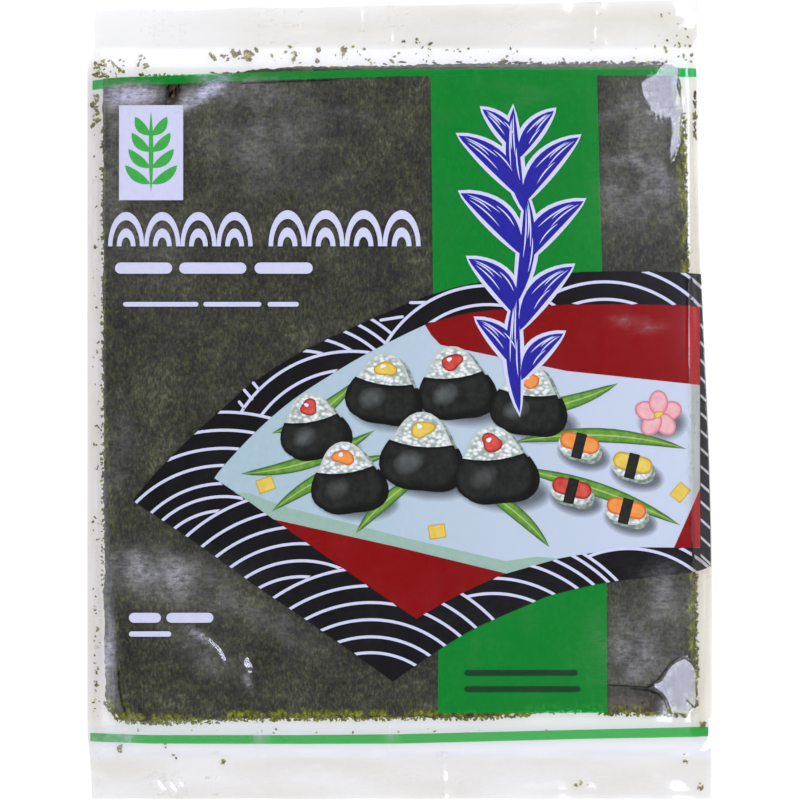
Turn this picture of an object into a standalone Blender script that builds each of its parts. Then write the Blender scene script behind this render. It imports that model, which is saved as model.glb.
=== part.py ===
"""Sealed clear film pack of ten nori sheets, lying on its back with the printed face up.

Metres, +Z up, +Y towards the top seal. The origin is the middle of the pack's footprint, on the surface it
lies on. The film is a tube, folded at both long sides and heat sealed at both ends. As the pack is shut and
filled, it is one closed solid: a shallow bulge over the stack, with a flat fin past each seal.
"""

import math

import bmesh
import bpy
from mathutils import Vector

MM = 0.001

# The pack's own width and length, and the seals across its two ends
PACK_WIDTH = 200.8 * MM
PACK_LENGTH = 257.0 * MM
TOP_SEAL_WIDTH = 15.2 * MM
BOTTOM_SEAL_WIDTH = 12.9 * MM

# The stack inside: ten standard sheets of 190 by 210 mm
SHEET_WIDTH = 190.0 * MM
SHEET_LENGTH = 210.0 * MM
STACK_HEIGHT = 3.7 * MM
STACK_CENTRE_X = -0.5 * MM
STACK_CENTRE_Y = 2.0 * MM

# How the outline departs from a rectangle
TOP_CUT_SKEW = 3.4 * MM         # the top cut runs down towards the left side
TOP_CUT_SCALLOP = 0.4 * MM      # and is a little wavy, where the fin has puckered
SCALLOP_LENGTH = 38.0 * MM
RIGHT_SIDE_TAPER = 4.6 * MM     # the film is drawn in beside the upper half of the stack
TAPER_FROM_Y = -60.0 * MM
TAPER_TO_Y = 100.0 * MM
TOP_FIN_INSET = 2.1 * MM        # the seals draw the left side in
BOTTOM_FIN_INSET = 1.4 * MM

# Heights of the film above the surface the pack lies on
FIN_UNDERSIDE = 0.4 * MM
FIN_THICKNESS = 0.6 * MM
FIN_LIFT = 0.8 * MM             # the free edges of the fins curl up by this much
FIN_RIPPLE = 0.3 * MM
SIDE_FOLD_UNDERSIDE = 0.7 * MM
SIDE_FOLD_THICKNESS = 0.8 * MM
FILM_CLEARANCE = 0.4 * MM       # the film lies this far over the edges of the stack
CROWN = 0.5 * MM                # and this much further off its middle, on the air sealed in
SWELL = 0.16 * MM               # long shallow waves in the film over the stack
SWELL_LENGTH_X = 71.0 * MM
SWELL_LENGTH_Y = 58.0 * MM

# The film is gathered at each corner of the stack, where it sinks in and puckers towards the seal
CORNER_TUCK = 0.7 * MM
CORNER_TUCK_RADIUS = 9.0 * MM
PUCKER_HEIGHT = 0.3 * MM
PUCKER_LENGTH = 11.0 * MM

# Grid spacing of the faceted surface
MIDDLE_CELL = 6.5 * MM
EDGE_CELL = 1.5 * MM
EDGE_RUN = 3.0 * MM             # how far the fine cells run in over the stack
FLAT_ANGLE = math.radians(0.05)
SHARP_ANGLE = math.radians(40)

FILM_COLOUR = (0.045, 0.055, 0.035, 1.0)
FILM_ROUGHNESS = 0.28

NODE_NAME = "nori_pack"
COLLECTION_NAME = "nori_sheet_pack"

# Where the named sizes put the edges of the pack, its seals and its stack
HALF_WIDTH = PACK_WIDTH / 2
HALF_LENGTH = PACK_LENGTH / 2
SEAL_TOP_Y = HALF_LENGTH - TOP_SEAL_WIDTH
SEAL_BOTTOM_Y = BOTTOM_SEAL_WIDTH - HALF_LENGTH
STACK_LEFT = STACK_CENTRE_X - SHEET_WIDTH / 2
STACK_RIGHT = STACK_CENTRE_X + SHEET_WIDTH / 2
STACK_BOTTOM = STACK_CENTRE_Y - SHEET_LENGTH / 2
STACK_TOP = STACK_CENTRE_Y + SHEET_LENGTH / 2


def smooth_step(value, low, high):
    """An S-shaped rise from 0 at low to 1 at high, which may be the lower number of the two."""
    share = min(max((value - low) / (high - low), 0.0), 1.0)
    return share * share * (3.0 - 2.0 * share)


def wave(distance, wavelength):
    return math.sin(2 * math.pi * distance / wavelength)


def outline(x, y):
    """Moves a point of the full rectangle to the pack's own outline, which is a little askew."""
    on_top_fin = smooth_step(y, STACK_TOP, SEAL_TOP_Y)
    on_bottom_fin = smooth_step(y, STACK_BOTTOM, -HALF_LENGTH)
    at_left = smooth_step(x, STACK_LEFT, -HALF_WIDTH)
    at_right = smooth_step(x, STACK_RIGHT - EDGE_RUN, HALF_WIDTH)
    inset = at_left * (TOP_FIN_INSET * on_top_fin + BOTTOM_FIN_INSET * on_bottom_fin)
    taper = at_right * RIGHT_SIDE_TAPER * smooth_step(y, TAPER_FROM_Y, TAPER_TO_Y)
    to_cut = smooth_step(y, SEAL_TOP_Y, HALF_LENGTH)
    skew = TOP_CUT_SKEW * (HALF_WIDTH - x) / PACK_WIDTH
    scallop = TOP_CUT_SCALLOP * (HALF_WIDTH - x) / PACK_WIDTH * (1 + wave(x, SCALLOP_LENGTH))
    return x + inset - taper, y - to_cut * (skew + scallop)


def share_over_stack(x, y):
    """1 over the stack, falling to 0 at the side folds and, as the second number, at the seals."""
    across = smooth_step(x, -HALF_WIDTH, STACK_LEFT + MM) * smooth_step(x, HALF_WIDTH, STACK_RIGHT - MM)
    along = smooth_step(y, SEAL_BOTTOM_Y, STACK_BOTTOM + MM) * smooth_step(y, SEAL_TOP_Y, STACK_TOP - MM)
    return across, along


def fin_lift(x, y):
    """How far a fin has curled up and rippled, from nothing at its seal's inner edge."""
    out = smooth_step(y, SEAL_TOP_Y, HALF_LENGTH) + smooth_step(y, SEAL_BOTTOM_Y, -HALF_LENGTH)
    return out * (FIN_LIFT + FIN_RIPPLE * wave(x, SCALLOP_LENGTH))


def corner_gather(x, y):
    """Height of the film beside a corner of the stack, against where it would be drawn smoothly over."""
    corner_x = STACK_LEFT if x < STACK_CENTRE_X else STACK_RIGHT
    corner_y = STACK_BOTTOM if y < STACK_CENTRE_Y else STACK_TOP
    away = math.hypot(x - corner_x, y - corner_y) / CORNER_TUCK_RADIUS
    near = math.exp(-away * away)
    return near * (PUCKER_HEIGHT * wave(abs(x - corner_x), PUCKER_LENGTH) - CORNER_TUCK)


def underside(x, y):
    """Height of the back film: flat under the stack, off the surface at the folds and the fins."""
    across, along = share_over_stack(x, y)
    at_fold = SIDE_FOLD_UNDERSIDE * (1.0 - across) * along
    at_fin = FIN_UNDERSIDE * (1.0 - along)
    return max(at_fold, at_fin) + fin_lift(x, y)


def topside(x, y):
    """Height of the front film."""
    across, along = share_over_stack(x, y)
    off_middle_x = (x - STACK_CENTRE_X) / (SHEET_WIDTH / 2)
    off_middle_y = (y - STACK_CENTRE_Y) / (SHEET_LENGTH / 2)
    crown = CROWN * math.sqrt(max(0.0, 1.0 - off_middle_x ** 2) * max(0.0, 1.0 - off_middle_y ** 2))
    swell = SWELL * wave(x, SWELL_LENGTH_X) * wave(y, SWELL_LENGTH_Y)
    over_stack = STACK_HEIGHT + FILM_CLEARANCE + crown + swell + corner_gather(x, y)
    edge_thickness = FIN_THICKNESS + (SIDE_FOLD_THICKNESS - FIN_THICKNESS) * along
    at_edge = underside(x, y) + edge_thickness
    return at_edge + (over_stack - at_edge) * across * along


def spaced(start, end, cell):
    """Positions from start up to, but not at, end, evenly spaced and about one cell apart."""
    steps = max(1, round((end - start) / cell))
    return [start + (end - start) * step / steps for step in range(steps)]


def grid_lines(low, stack_low, stack_high, high):
    """Grid lines from low to high: close together beside the stack's edges, wider over its middle."""
    lines = spaced(low, stack_low + EDGE_RUN, EDGE_CELL)
    lines += spaced(stack_low + EDGE_RUN, stack_high - EDGE_RUN, MIDDLE_CELL)
    lines += spaced(stack_high - EDGE_RUN, high, EDGE_CELL)
    return lines + [high]


def pack_mesh():
    """One closed body: a flat slab of grid cells, whose two faces are then laid on the two films."""
    x_lines = grid_lines(-HALF_WIDTH, STACK_LEFT, STACK_RIGHT, HALF_WIDTH)
    y_lines = grid_lines(-HALF_LENGTH, STACK_BOTTOM, STACK_TOP, HALF_LENGTH)
    columns = len(x_lines) - 1
    rows = len(y_lines) - 1
    body = bmesh.new()
    bmesh.ops.create_grid(body, x_segments=columns, y_segments=rows, size=0.5)
    back = bmesh.ops.extrude_face_region(body, geom=body.faces[:])["geom"]
    back_vertices = {item for item in back if isinstance(item, bmesh.types.BMVert)}
    for vertex in body.verts:
        flat_x = x_lines[round((vertex.co.x + 0.5) * columns)]
        flat_y = y_lines[round((vertex.co.y + 0.5) * rows)]
        height = underside if vertex in back_vertices else topside
        vertex.co = Vector((*outline(flat_x, flat_y), height(flat_x, flat_y)))
    back_edges = [edge for edge in body.edges if set(edge.verts) <= back_vertices]
    bmesh.ops.dissolve_limit(body, angle_limit=FLAT_ANGLE, verts=list(back_vertices), edges=back_edges)
    bmesh.ops.triangulate(body, faces=body.faces[:])
    bmesh.ops.recalc_face_normals(body, faces=body.faces[:])
    mesh = bpy.data.meshes.new(NODE_NAME)
    body.to_mesh(mesh)
    body.free()
    return mesh


def film_over_nori():
    """Dark green-black sheets seen through clear glossy film."""
    material = bpy.data.materials.new("film_over_nori")
    material.use_nodes = True
    shader = material.node_tree.nodes["Principled BSDF"]
    shader.inputs["Base Color"].default_value = FILM_COLOUR
    shader.inputs["Roughness"].default_value = FILM_ROUGHNESS
    shader.inputs["Metallic"].default_value = 0.0
    return material


def build():
    for old in list(bpy.data.objects):
        bpy.data.objects.remove(old)
    collection = bpy.data.collections.new(COLLECTION_NAME)
    bpy.context.scene.collection.children.link(collection)
    mesh = pack_mesh()
    mesh.materials.append(film_over_nori())
    mesh.shade_smooth()
    mesh.set_sharp_from_angle(angle=SHARP_ANGLE)
    collection.objects.link(bpy.data.objects.new(NODE_NAME, mesh))


build()
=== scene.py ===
"""Clear printed film pack of ten nori sheets, lying on its back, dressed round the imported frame.

Lists of places are in millimetres on the front of the pack: x to the right, y towards the top seal. Each
function turns them to metres where it makes a mesh.
"""

import functools
import math
import random

import bmesh
import bpy
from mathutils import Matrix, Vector, noise


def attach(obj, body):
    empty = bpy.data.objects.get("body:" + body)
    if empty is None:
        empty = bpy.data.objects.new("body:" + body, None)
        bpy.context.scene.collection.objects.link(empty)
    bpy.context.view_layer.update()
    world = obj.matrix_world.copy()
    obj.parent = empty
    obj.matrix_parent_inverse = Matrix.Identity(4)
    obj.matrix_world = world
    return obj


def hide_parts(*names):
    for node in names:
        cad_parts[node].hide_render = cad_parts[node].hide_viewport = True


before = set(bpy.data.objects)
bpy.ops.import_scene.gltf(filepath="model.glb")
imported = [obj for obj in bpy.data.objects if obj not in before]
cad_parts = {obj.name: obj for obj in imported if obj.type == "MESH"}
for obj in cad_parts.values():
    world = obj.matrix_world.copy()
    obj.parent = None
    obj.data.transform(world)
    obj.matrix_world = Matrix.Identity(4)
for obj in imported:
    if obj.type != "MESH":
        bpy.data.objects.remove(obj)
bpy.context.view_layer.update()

MM = 0.001

# The pack's sizes, the same as in the frame
PACK_WIDTH = 200.8
PACK_LENGTH = 257.0
TOP_SEAL_WIDTH = 15.2
BOTTOM_SEAL_WIDTH = 12.9
SHEET_WIDTH = 190.0
SHEET_LENGTH = 210.0
STACK_HEIGHT = 3.7
STACK_CENTRE_X = -0.5
STACK_CENTRE_Y = 2.0
TOP_CUT_SKEW = 3.4
TOP_CUT_SCALLOP = 0.4
SCALLOP_LENGTH = 38.0
RIGHT_SIDE_TAPER = 4.6
TAPER_FROM_Y = -60.0
TAPER_TO_Y = 100.0
TOP_FIN_INSET = 2.1
BOTTOM_FIN_INSET = 1.4
FIN_UNDERSIDE = 0.4
FIN_THICKNESS = 0.6
FIN_LIFT = 0.8
FIN_RIPPLE = 0.3
SIDE_FOLD_UNDERSIDE = 0.7
SIDE_FOLD_THICKNESS = 0.8
FILM_CLEARANCE = 0.4
CROWN = 0.5
SWELL = 0.16
SWELL_LENGTH_X = 71.0
SWELL_LENGTH_Y = 58.0
CORNER_TUCK = 0.7
CORNER_TUCK_RADIUS = 9.0
PUCKER_HEIGHT = 0.3
PUCKER_LENGTH = 11.0
EDGE_RUN = 3.0

HALF_WIDTH = PACK_WIDTH / 2
HALF_LENGTH = PACK_LENGTH / 2
SEAL_TOP_Y = HALF_LENGTH - TOP_SEAL_WIDTH
SEAL_BOTTOM_Y = BOTTOM_SEAL_WIDTH - HALF_LENGTH
STACK_LEFT = STACK_CENTRE_X - SHEET_WIDTH / 2
STACK_RIGHT = STACK_CENTRE_X + SHEET_WIDTH / 2
STACK_BOTTOM = STACK_CENTRE_Y - SHEET_LENGTH / 2
STACK_TOP = STACK_CENTRE_Y + SHEET_LENGTH / 2

# Sizes that only the dressed pack has
FIN_SLIMMED = 0.2               # taken off each face of the fins, which leaves them 0.2 thick
FIN_PUCKERS = ((0.34, 7.5, 6.0, 8.0), (0.3, 22.0, 5.0, 1.0))    # height, size across and along, and seed
FILM_WAVE = 0.05                # the film is never quite flat between its larger swells
FILM_WAVE_LENGTH = 24.0
LAP_SEAM_X = 8.0                # the back film laps over itself here, and stands this much proud
LAP_SEAM_HALF_WIDTH = 5.0
LAP_SEAM_STEP = 0.08
SHEET_COUNT = 10
SHEET_THICKNESS = 0.2
SHEET_RELIEF = 0.045
SHEETS_START = 0.2
NORI_UNDER_FILM = 0.34          # least room between the top sheet and the front film
INK_THICKNESS = 0.02

# Flat facets that the film is folded into: their corners, a point on each with its height, how far it leans
# to the right and to the top in degrees, and how much steeper it gets with each millimetre off that point
FACETS = (
    (((87.3, 107.9), (85.1, 107.9), (83.3, 106.1), (82.4, 104.3), (79.2, 102.7), (77.4, 101.1), (78.1, 98.0),
      (78.9, 95.8), (79.7, 96.0), (79.5, 93.8), (80.6, 94.2), (80.5, 91.9), (81.6, 92.6), (82.0, 90.6),
      (83.0, 91.5), (83.7, 89.9), (84.6, 91.2), (85.4, 89.8), (86.4, 91.0), (87.2, 89.4), (87.5, 85.3),
      (86.8, 80.8), (86.9, 76.8), (88.5, 79.9), (89.5, 83.5), (90.2, 89.8), (90.8, 95.6), (89.6, 97.6),
      (88.8, 100.7), (89.2, 103.4), (89.4, 106.5)), (91.2, 96.0, 4.1), (4.0, 0.7), 0.0),
    (((81.5, -91.6), (83.7, -90.7), (85.1, -88.9), (86.0, -87.1), (87.8, -85.1), (89.6, -84.0), (91.4, -83.3),
      (93.7, -85.3), (94.8, -87.1), (95.0, -97.5), (94.1, -99.8), (92.3, -100.9), (87.3, -100.7),
      (86.9, -98.9), (86.0, -96.6), (84.2, -93.9), (81.9, -92.5)), (92.6, -100.0, 3.98), (3.2, -3.0), 0.02),
)
FLANK_STEEPNESS = 1.6           # how steeply a facet drops to the film past its sharp sides
FLANK_WIDTH = 0.6
FACET_REACH = 24.0

# Narrow creases in the film: start, end, height, run of the left and right flanks, and of the ends
CREASES = (
    ((92.9, 44.0), (92.5, 12.0), 0.1, 0.8, 0.7, 3.0),
    ((92.5, 12.0), (93.4, -22.0), 0.1, 0.8, 0.7, 1.0),
    ((93.4, -22.0), (94.2, -54.0), 0.1, 0.8, 0.7, 3.0),
    ((-97.6, 60.0), (-97.2, -70.0), 0.16, 0.8, 0.9, 8.0),
    ((-12.0, 114.0), (-12.6, 127.0), 0.16, 0.9, 0.9, 2.0),
    ((-2.6, 115.0), (-2.2, 125.0), 0.14, 0.8, 0.8, 2.0),
    ((-33.0, 116.0), (-31.5, 127.0), 0.14, 0.8, 0.8, 2.0),
    ((62.0, 114.5), (62.6, 124.0), 0.14, 0.8, 0.8, 2.0),
    ((-60.0, -117.0), (-60.6, -126.0), 0.14, 0.9, 0.9, 2.0),
    ((14.0, -117.0), (14.4, -127.0), 0.14, 0.9, 0.9, 2.0),
)
SHARP_CREASES = (
    ((-61.6, -77.6), (-58.4, -80.6), 0.29, 1.1, 0.45, 1.6),
    ((-58.4, -80.6), (-56.3, -84.4), 0.29, 1.1, 0.45, 1.2),
    ((-50.6, -83.6), (-48.8, -87.2), 0.52, 2.0, 0.6, 1.4),
    ((-76.2, -125.8), (-78.4, -123.0), 0.36, 1.4, 1.05, 1.0),
    ((-72.0, -126.4), (-74.6, -123.4), 0.36, 1.4, 1.05, 1.0),
    ((-70.2, -124.6), (-71.4, -122.8), 0.3, 1.2, 0.9, 0.8),
)

# Dark lines painted into the film along sharp folds, as painted shade where the folds would bend the light
# away
PAINTED_FOLD_SHADOWS = (
    ((66.6, -91.8), (71.6, -92.0), (79.7, -92.5), (83.1, -89.9), (85.0, -87.2), (86.8, -84.9), (89.6, -82.9)),
    ((74.7, -92.9), (79.7, -93.4), (83.1, -94.8), (85.1, -97.1), (86.0, -100.0)),
    ((92.1, -96.5), (94.4, -99.0)),
    ((-90.3, -86.5), (-90.1, -92.0), (-89.3, -97.0), (-87.7, -101.6)),
    ((-50.0, 101.3), (-36.0, 101.9), (-22.0, 102.3)),
)
FOLD_HALF_WIDTH = 0.45
FOLD_DARKNESS = 0.66

# Cloudy places in the film, partly a faint cloudiness and mostly painted sheen and reflections of the lights:
# middle, reach across and along, how far they are turned, and how milky they are. One is drawn tight and
# clear:
# the knot of folds at the top left.
CLOUD_AND_SHEEN_PLACES = (
    (-32.0, 72.0, 34.0, 20.0, 0, 0.004), (-45.0, 87.0, 26.0, 5.0, 4, 0.03),
    (-80.0, 48.0, 16.0, 18.0, 0, 0.03), (-44.0, 80.0, 14.0, 9.0, 0, 0.06),
    (-44.0, 97.5, 15.0, 4.5, 4, 0.09), (-18.0, 92.0, 12.0, 1.6, -6, 0.03),
    (-40.0, 68.0, 20.0, 2.0, 5, 0.02), (76.0, 63.5, 12.0, 8.0, 0, 0.12), (82.0, 73.0, 10.0, 2.4, -24, 0.1),
    (72.0, 77.0, 7.0, 2.0, 4, 0.08), (70.0, 92.5, 8.0, 2.0, 28, 0.09), (84.5, 68.0, 1.4, 9.0, 4, 0.1),
    (79.0, 89.0, 12.0, 11.0, 0, 0.08), (67.5, 66.0, 1.6, 8.0, 0, 0.04), (86.0, -64.0, 9.0, 8.0, 0, 0.12),
    (76.5, -82.0, 11.0, 7.5, 0, 0.145), (70.0, -70.0, 2.6, 5.0, 0, 0.05), (71.0, -90.0, 7.0, 1.6, 4, 0.07),
    (74.0, -97.5, 9.0, 2.6, 0, 0.04), (72.0, -74.0, 6.0, 3.0, 20, 0.05),
    (50.0, -92.0, 18.0, 10.0, 0, 0.012), (74.0, 25.0, 5.0, 1.6, -4, 0.07), (80.0, 22.6, 5.0, 1.2, 10, 0.05),
    (-78.0, -54.6, 17.0, 5.0, -10, 0.2), (-72.0, -63.0, 17.0, 4.5, -12, 0.1),
    (-90.0, -18.0, 4.0, 14.0, 0, 0.05), (-40.0, -72.5, 14.0, 4.0, -32, 0.05),
    (-65.0, -79.0, 11.0, 5.0, -35, 0.05), (-64.8, -75.6, 3.6, 0.9, -34, 0.3),
    (-58.4, -86.5, 6.0, 2.6, -10, 0.05), (-86.5, 97.4, 9.0, 3.0, 3, 0.5), (-63.4, 97.8, 8.6, 1.9, 34, 0.62),
    (-60.0, 99.5, 13.0, 2.2, 10, 0.16), (-91.8, 80.0, 3.0, 22.0, 0, 0.08),
    (-93.4, -84.0, 1.8, 14.0, 0, 0.3), (-49.0, -90.5, 3.0, 0.9, -60, 0.14),
    (40.0, 99.0, 15.0, 2.0, -8, 0.03), (30.0, 93.0, 16.0, 1.6, 12, 0.03), (60.5, 84.0, 1.8, 14.0, 0, 0.015),
    (24.0, -82.0, 1.6, 5.0, 0, 0.03), (38.7, -69.6, 16.0, 4.0, 0, 0.012), (27.4, -64.7, 4.0, 7.0, 0, 0.012),
    (63.0, -74.0, 2.6, 7.0, 0, 0.03), (-88.6, -109.0, 2.6, 4.0, -30, 0.3),
    (-44.5, -109.0, 2.0, 4.5, 0, 0.26), (-95.2, -108.9, 6.0, 2.8, 0, 0.26),
    (-2.6, -108.6, 1.8, 3.8, 0, 0.2), (-73.2, 97.6, 3.2, 3.6, 0, -0.13), (-60.0, 103.5, 5.0, 1.8, 0, 0.2),
    (-95.5, -50.0, 2.2, 48.0, 0, 0.05), (24.0, 121.0, 72.0, 4.5, 0, 0.06), (0.0, -122.5, 95.0, 4.5, 0, 0.1),
)
CLEARER_OVER_BAND = 0.3         # share of the clouds and painted sheen that is left over the wide green band
FILM_MILKINESS = 0.003


def smooth_step(value, low, high):
    """An S-shaped rise from 0 at low to 1 at high, which may be the lower number of the two."""
    share = min(max((value - low) / (high - low), 0.0), 1.0)
    return share * share * (3.0 - 2.0 * share)


def wave(distance, wavelength):
    """A sine wave of this length, from -1 to 1."""
    return math.sin(2 * math.pi * distance / wavelength)


def uneven(x, y, across, along, seed):
    """Smooth noise from about -1 to 1 with features across by along millimetres."""
    return noise.noise(Vector((x / across, y / along, seed)))


def heading(start, end):
    """Length of a straight run, and its direction as two numbers."""
    length = math.dist(start, end)
    return length, ((end[0] - start[0]) / length, (end[1] - start[1]) / length)


def off_run(start, ahead, along, out):
    """The point so far along a run and so far out to its left."""
    return start[0] + ahead[0] * along - ahead[1] * out, start[1] + ahead[1] * along + ahead[0] * out


def round_about(middle, reach, angle):
    """The point at this distance from the middle, in the direction of an angle in radians."""
    return middle[0] + reach * math.cos(angle), middle[1] + reach * math.sin(angle)


def sides_of(loop):
    """Start and end of each side of a closed loop."""
    return zip(loop, loop[1:] + loop[:1])


def within(loop, x, y):
    """True if a point is inside a loop."""
    inside = False
    for (x0, y0), (x1, y1) in sides_of(loop):
        if (y0 > y) != (y1 > y) and x < x0 + (x1 - x0) * (y - y0) / (y1 - y0):
            inside = not inside
    return inside


def from_line(points, x, y):
    """Distance from a point to the nearest part of a line through the given points."""
    least = math.inf
    for (x0, y0), (x1, y1) in zip(points, points[1:]):
        square = (x1 - x0) ** 2 + (y1 - y0) ** 2
        share = min(max(((x - x0) * (x1 - x0) + (y - y0) * (y1 - y0)) / square, 0.0), 1.0)
        least = min(least, math.hypot(x - x0 - share * (x1 - x0), y - y0 - share * (y1 - y0)))
    return least


def outline(x, y):
    """Moves a point of the full rectangle to the pack's own outline, as in the frame."""
    on_top_fin = smooth_step(y, STACK_TOP, SEAL_TOP_Y)
    on_bottom_fin = smooth_step(y, STACK_BOTTOM, -HALF_LENGTH)
    at_left = smooth_step(x, STACK_LEFT, -HALF_WIDTH)
    at_right = smooth_step(x, STACK_RIGHT - EDGE_RUN, HALF_WIDTH)
    inset = at_left * (TOP_FIN_INSET * on_top_fin + BOTTOM_FIN_INSET * on_bottom_fin)
    taper = at_right * RIGHT_SIDE_TAPER * smooth_step(y, TAPER_FROM_Y, TAPER_TO_Y)
    to_cut = smooth_step(y, SEAL_TOP_Y, HALF_LENGTH)
    skew = TOP_CUT_SKEW * (HALF_WIDTH - x) / PACK_WIDTH
    scallop = TOP_CUT_SCALLOP * (HALF_WIDTH - x) / PACK_WIDTH * (1 + wave(x, SCALLOP_LENGTH))
    return x + inset - taper, y - to_cut * (skew + scallop)


def on_rectangle(x, y):
    """Where a point of the finished outline came from on the full rectangle."""
    flat_x, flat_y = x, y
    if STACK_LEFT < x < STACK_RIGHT - EDGE_RUN and y < SEAL_TOP_Y:
        return flat_x, flat_y
    for _ in range(4):
        moved_x, moved_y = outline(flat_x, flat_y)
        flat_x += x - moved_x
        flat_y += y - moved_y
    flat_x = min(max(flat_x, -HALF_WIDTH), HALF_WIDTH)
    return flat_x, min(max(flat_y, -HALF_LENGTH), HALF_LENGTH)


def share_over_stack(x, y):
    """1 over the stack, falling to 0 at the side folds and, as the second number, at the seals."""
    across = smooth_step(x, -HALF_WIDTH, STACK_LEFT + 1) * smooth_step(x, HALF_WIDTH, STACK_RIGHT - 1)
    along = smooth_step(y, SEAL_BOTTOM_Y, STACK_BOTTOM + 1) * smooth_step(y, SEAL_TOP_Y, STACK_TOP - 1)
    return across, along


def fin_lift(x, y):
    """How far a fin has curled up and rippled, from nothing at its seal's inner edge."""
    out = smooth_step(y, SEAL_TOP_Y, HALF_LENGTH) + smooth_step(y, SEAL_BOTTOM_Y, -HALF_LENGTH)
    return out * (FIN_LIFT + FIN_RIPPLE * wave(x, SCALLOP_LENGTH))


def corner_gather(x, y):
    """Height of the film beside a corner of the stack, against where it would be drawn smoothly over."""
    corner_x = STACK_LEFT if x < STACK_CENTRE_X else STACK_RIGHT
    corner_y = STACK_BOTTOM if y < STACK_CENTRE_Y else STACK_TOP
    away = math.hypot(x - corner_x, y - corner_y) / CORNER_TUCK_RADIUS
    near = math.exp(-away * away)
    return near * (PUCKER_HEIGHT * wave(abs(x - corner_x), PUCKER_LENGTH) - CORNER_TUCK)


def fin_waves(x, y, along):
    """Soft puckers in the sealed fins, the same in both films."""
    if along > 0.98:
        return 0.0
    puckers = sum(height * uneven(x, y, *size_and_seed) for height, *size_and_seed in FIN_PUCKERS)
    return puckers * (1 - along) ** 2


def underside(x, y):
    """Height of the back film: flat under the stack, off the surface at the folds and the fins."""
    across, along = share_over_stack(x, y)
    at_fold = SIDE_FOLD_UNDERSIDE * (1.0 - across) * along
    at_fin = FIN_UNDERSIDE * (1.0 - along)
    return max(at_fold, at_fin) + fin_lift(x, y)


def topside(x, y):
    """Height of the front film, as in the frame."""
    across, along = share_over_stack(x, y)
    off_middle_x = (x - STACK_CENTRE_X) / (SHEET_WIDTH / 2)
    off_middle_y = (y - STACK_CENTRE_Y) / (SHEET_LENGTH / 2)
    crown = CROWN * math.sqrt(max(0.0, 1.0 - off_middle_x ** 2) * max(0.0, 1.0 - off_middle_y ** 2))
    swell = SWELL * wave(x, SWELL_LENGTH_X) * wave(y, SWELL_LENGTH_Y)
    over_stack = STACK_HEIGHT + FILM_CLEARANCE + crown + swell + corner_gather(x, y)
    edge_thickness = FIN_THICKNESS + (SIDE_FOLD_THICKNESS - FIN_THICKNESS) * along
    at_edge = underside(x, y) + edge_thickness
    return at_edge + (over_stack - at_edge) * across * along


def on_facets(x, y, film):
    """Height of the film at a point, raised from its own height to any facet there."""
    for corners, foot, lean, curl in FACETS:
        if abs(x - foot[0]) > FACET_REACH or abs(y - foot[1]) > FACET_REACH:
            continue
        slope_x, slope_y = math.tan(math.radians(lean[0])), math.tan(math.radians(lean[1]))
        up = (foot[0] - x) * slope_x + (foot[1] - y) * slope_y
        run = up / math.hypot(slope_x, slope_y)
        height = foot[2] + up + math.radians(curl) * run * abs(run)
        if height > film:
            past_sides = 0.0 if within(corners, x, y) else from_line(corners + corners[:1], x, y)
            film = max(film, height - FLANK_STEEPNESS * past_sides)
    return film


def crease_rise(x, y):
    """How far the creases lift the film at a point: the highest of them counts."""
    most = 0.0
    for start, end, height, left_run, right_run, end_run in CREASES + SHARP_CREASES:
        reach = max(left_run, right_run, end_run)
        if not (min(start[0], end[0]) - reach < x < max(start[0], end[0]) + reach
                and min(start[1], end[1]) - reach < y < max(start[1], end[1]) + reach):
            continue
        length, ahead = heading(start, end)
        along = (x - start[0]) * ahead[0] + (y - start[1]) * ahead[1]
        past_end = max(-along, along - length, 0.0)
        aside = (x - start[0]) * ahead[1] - (y - start[1]) * ahead[0]
        run = right_run if aside > 0 else left_run
        if past_end < end_run and abs(aside) < run:
            most = max(most, height * (1 - abs(aside) / run) * (1 - past_end / end_run))
    return most


@functools.cache
def front_film(x, y):
    """Height of the front film over a point of the front."""
    flat_x, flat_y = on_rectangle(x, y)
    along = share_over_stack(flat_x, flat_y)[1]
    slimmed = FIN_SLIMMED * (1 - along) ** 2
    ripple = FILM_WAVE * noise.noise(Vector((x, y * 0.7, 3.7)) / FILM_WAVE_LENGTH) * along
    film = topside(flat_x, flat_y) - slimmed + ripple + fin_waves(x, y, along) + crease_rise(x, y)
    return on_facets(x, y, film)


def back_film(x, y):
    """Height of the back film over the same point, with its lap seam."""
    flat_x, flat_y = on_rectangle(x, y)
    along = share_over_stack(flat_x, flat_y)[1]
    off_seam = smooth_step(abs(x - LAP_SEAM_X), LAP_SEAM_HALF_WIDTH, LAP_SEAM_HALF_WIDTH + 1)
    film = underside(flat_x, flat_y) + FIN_SLIMMED * (1 - along) ** 2 + LAP_SEAM_STEP * off_seam
    return film + fin_waves(x, y, along)


def stack_top(x, y):
    """Height of the stack, which is pressed down where the film is drawn in at its corners."""
    return min(STACK_HEIGHT, front_film(x, y) - NORI_UNDER_FILM)


# Materials

FADE_START = -50.0              # where a fading ink starts and ends to turn to its second colour
FADE_END = 80.0


def linear(hex_colour):
    """An sRGB hex value as linear red, green, blue and alpha."""
    channels = [int(hex_colour[place:place + 2], 16) / 255 for place in (1, 3, 5)]
    return (*[c / 12.92 if c <= 0.04045 else ((c + 0.055) / 1.055) ** 2.4 for c in channels], 1.0)


def per_mm(size):
    """Scale of a pattern whose features are this many millimetres across."""
    return 1.0 / (size * MM)


def add(tree, kind, settings=None, links=None, stops=()):
    """Adds a node with its settings, its incoming links and, on a colour ramp, its stops."""
    made = tree.nodes.new(kind)
    for key, value in (settings or {}).items():
        if isinstance(key, str) and hasattr(made, key):
            setattr(made, key, value)
        else:
            made.inputs[key].default_value = value
    for key, source in (links or {}).items():
        tree.links.new(source, made.inputs[key])
    for place, (at, colour) in enumerate(stops):
        ramp = made.color_ramp.elements
        stop = ramp[place] if place < 2 else ramp.new(at)
        stop.position = at
        stop.color = linear(colour)
    return made


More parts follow.
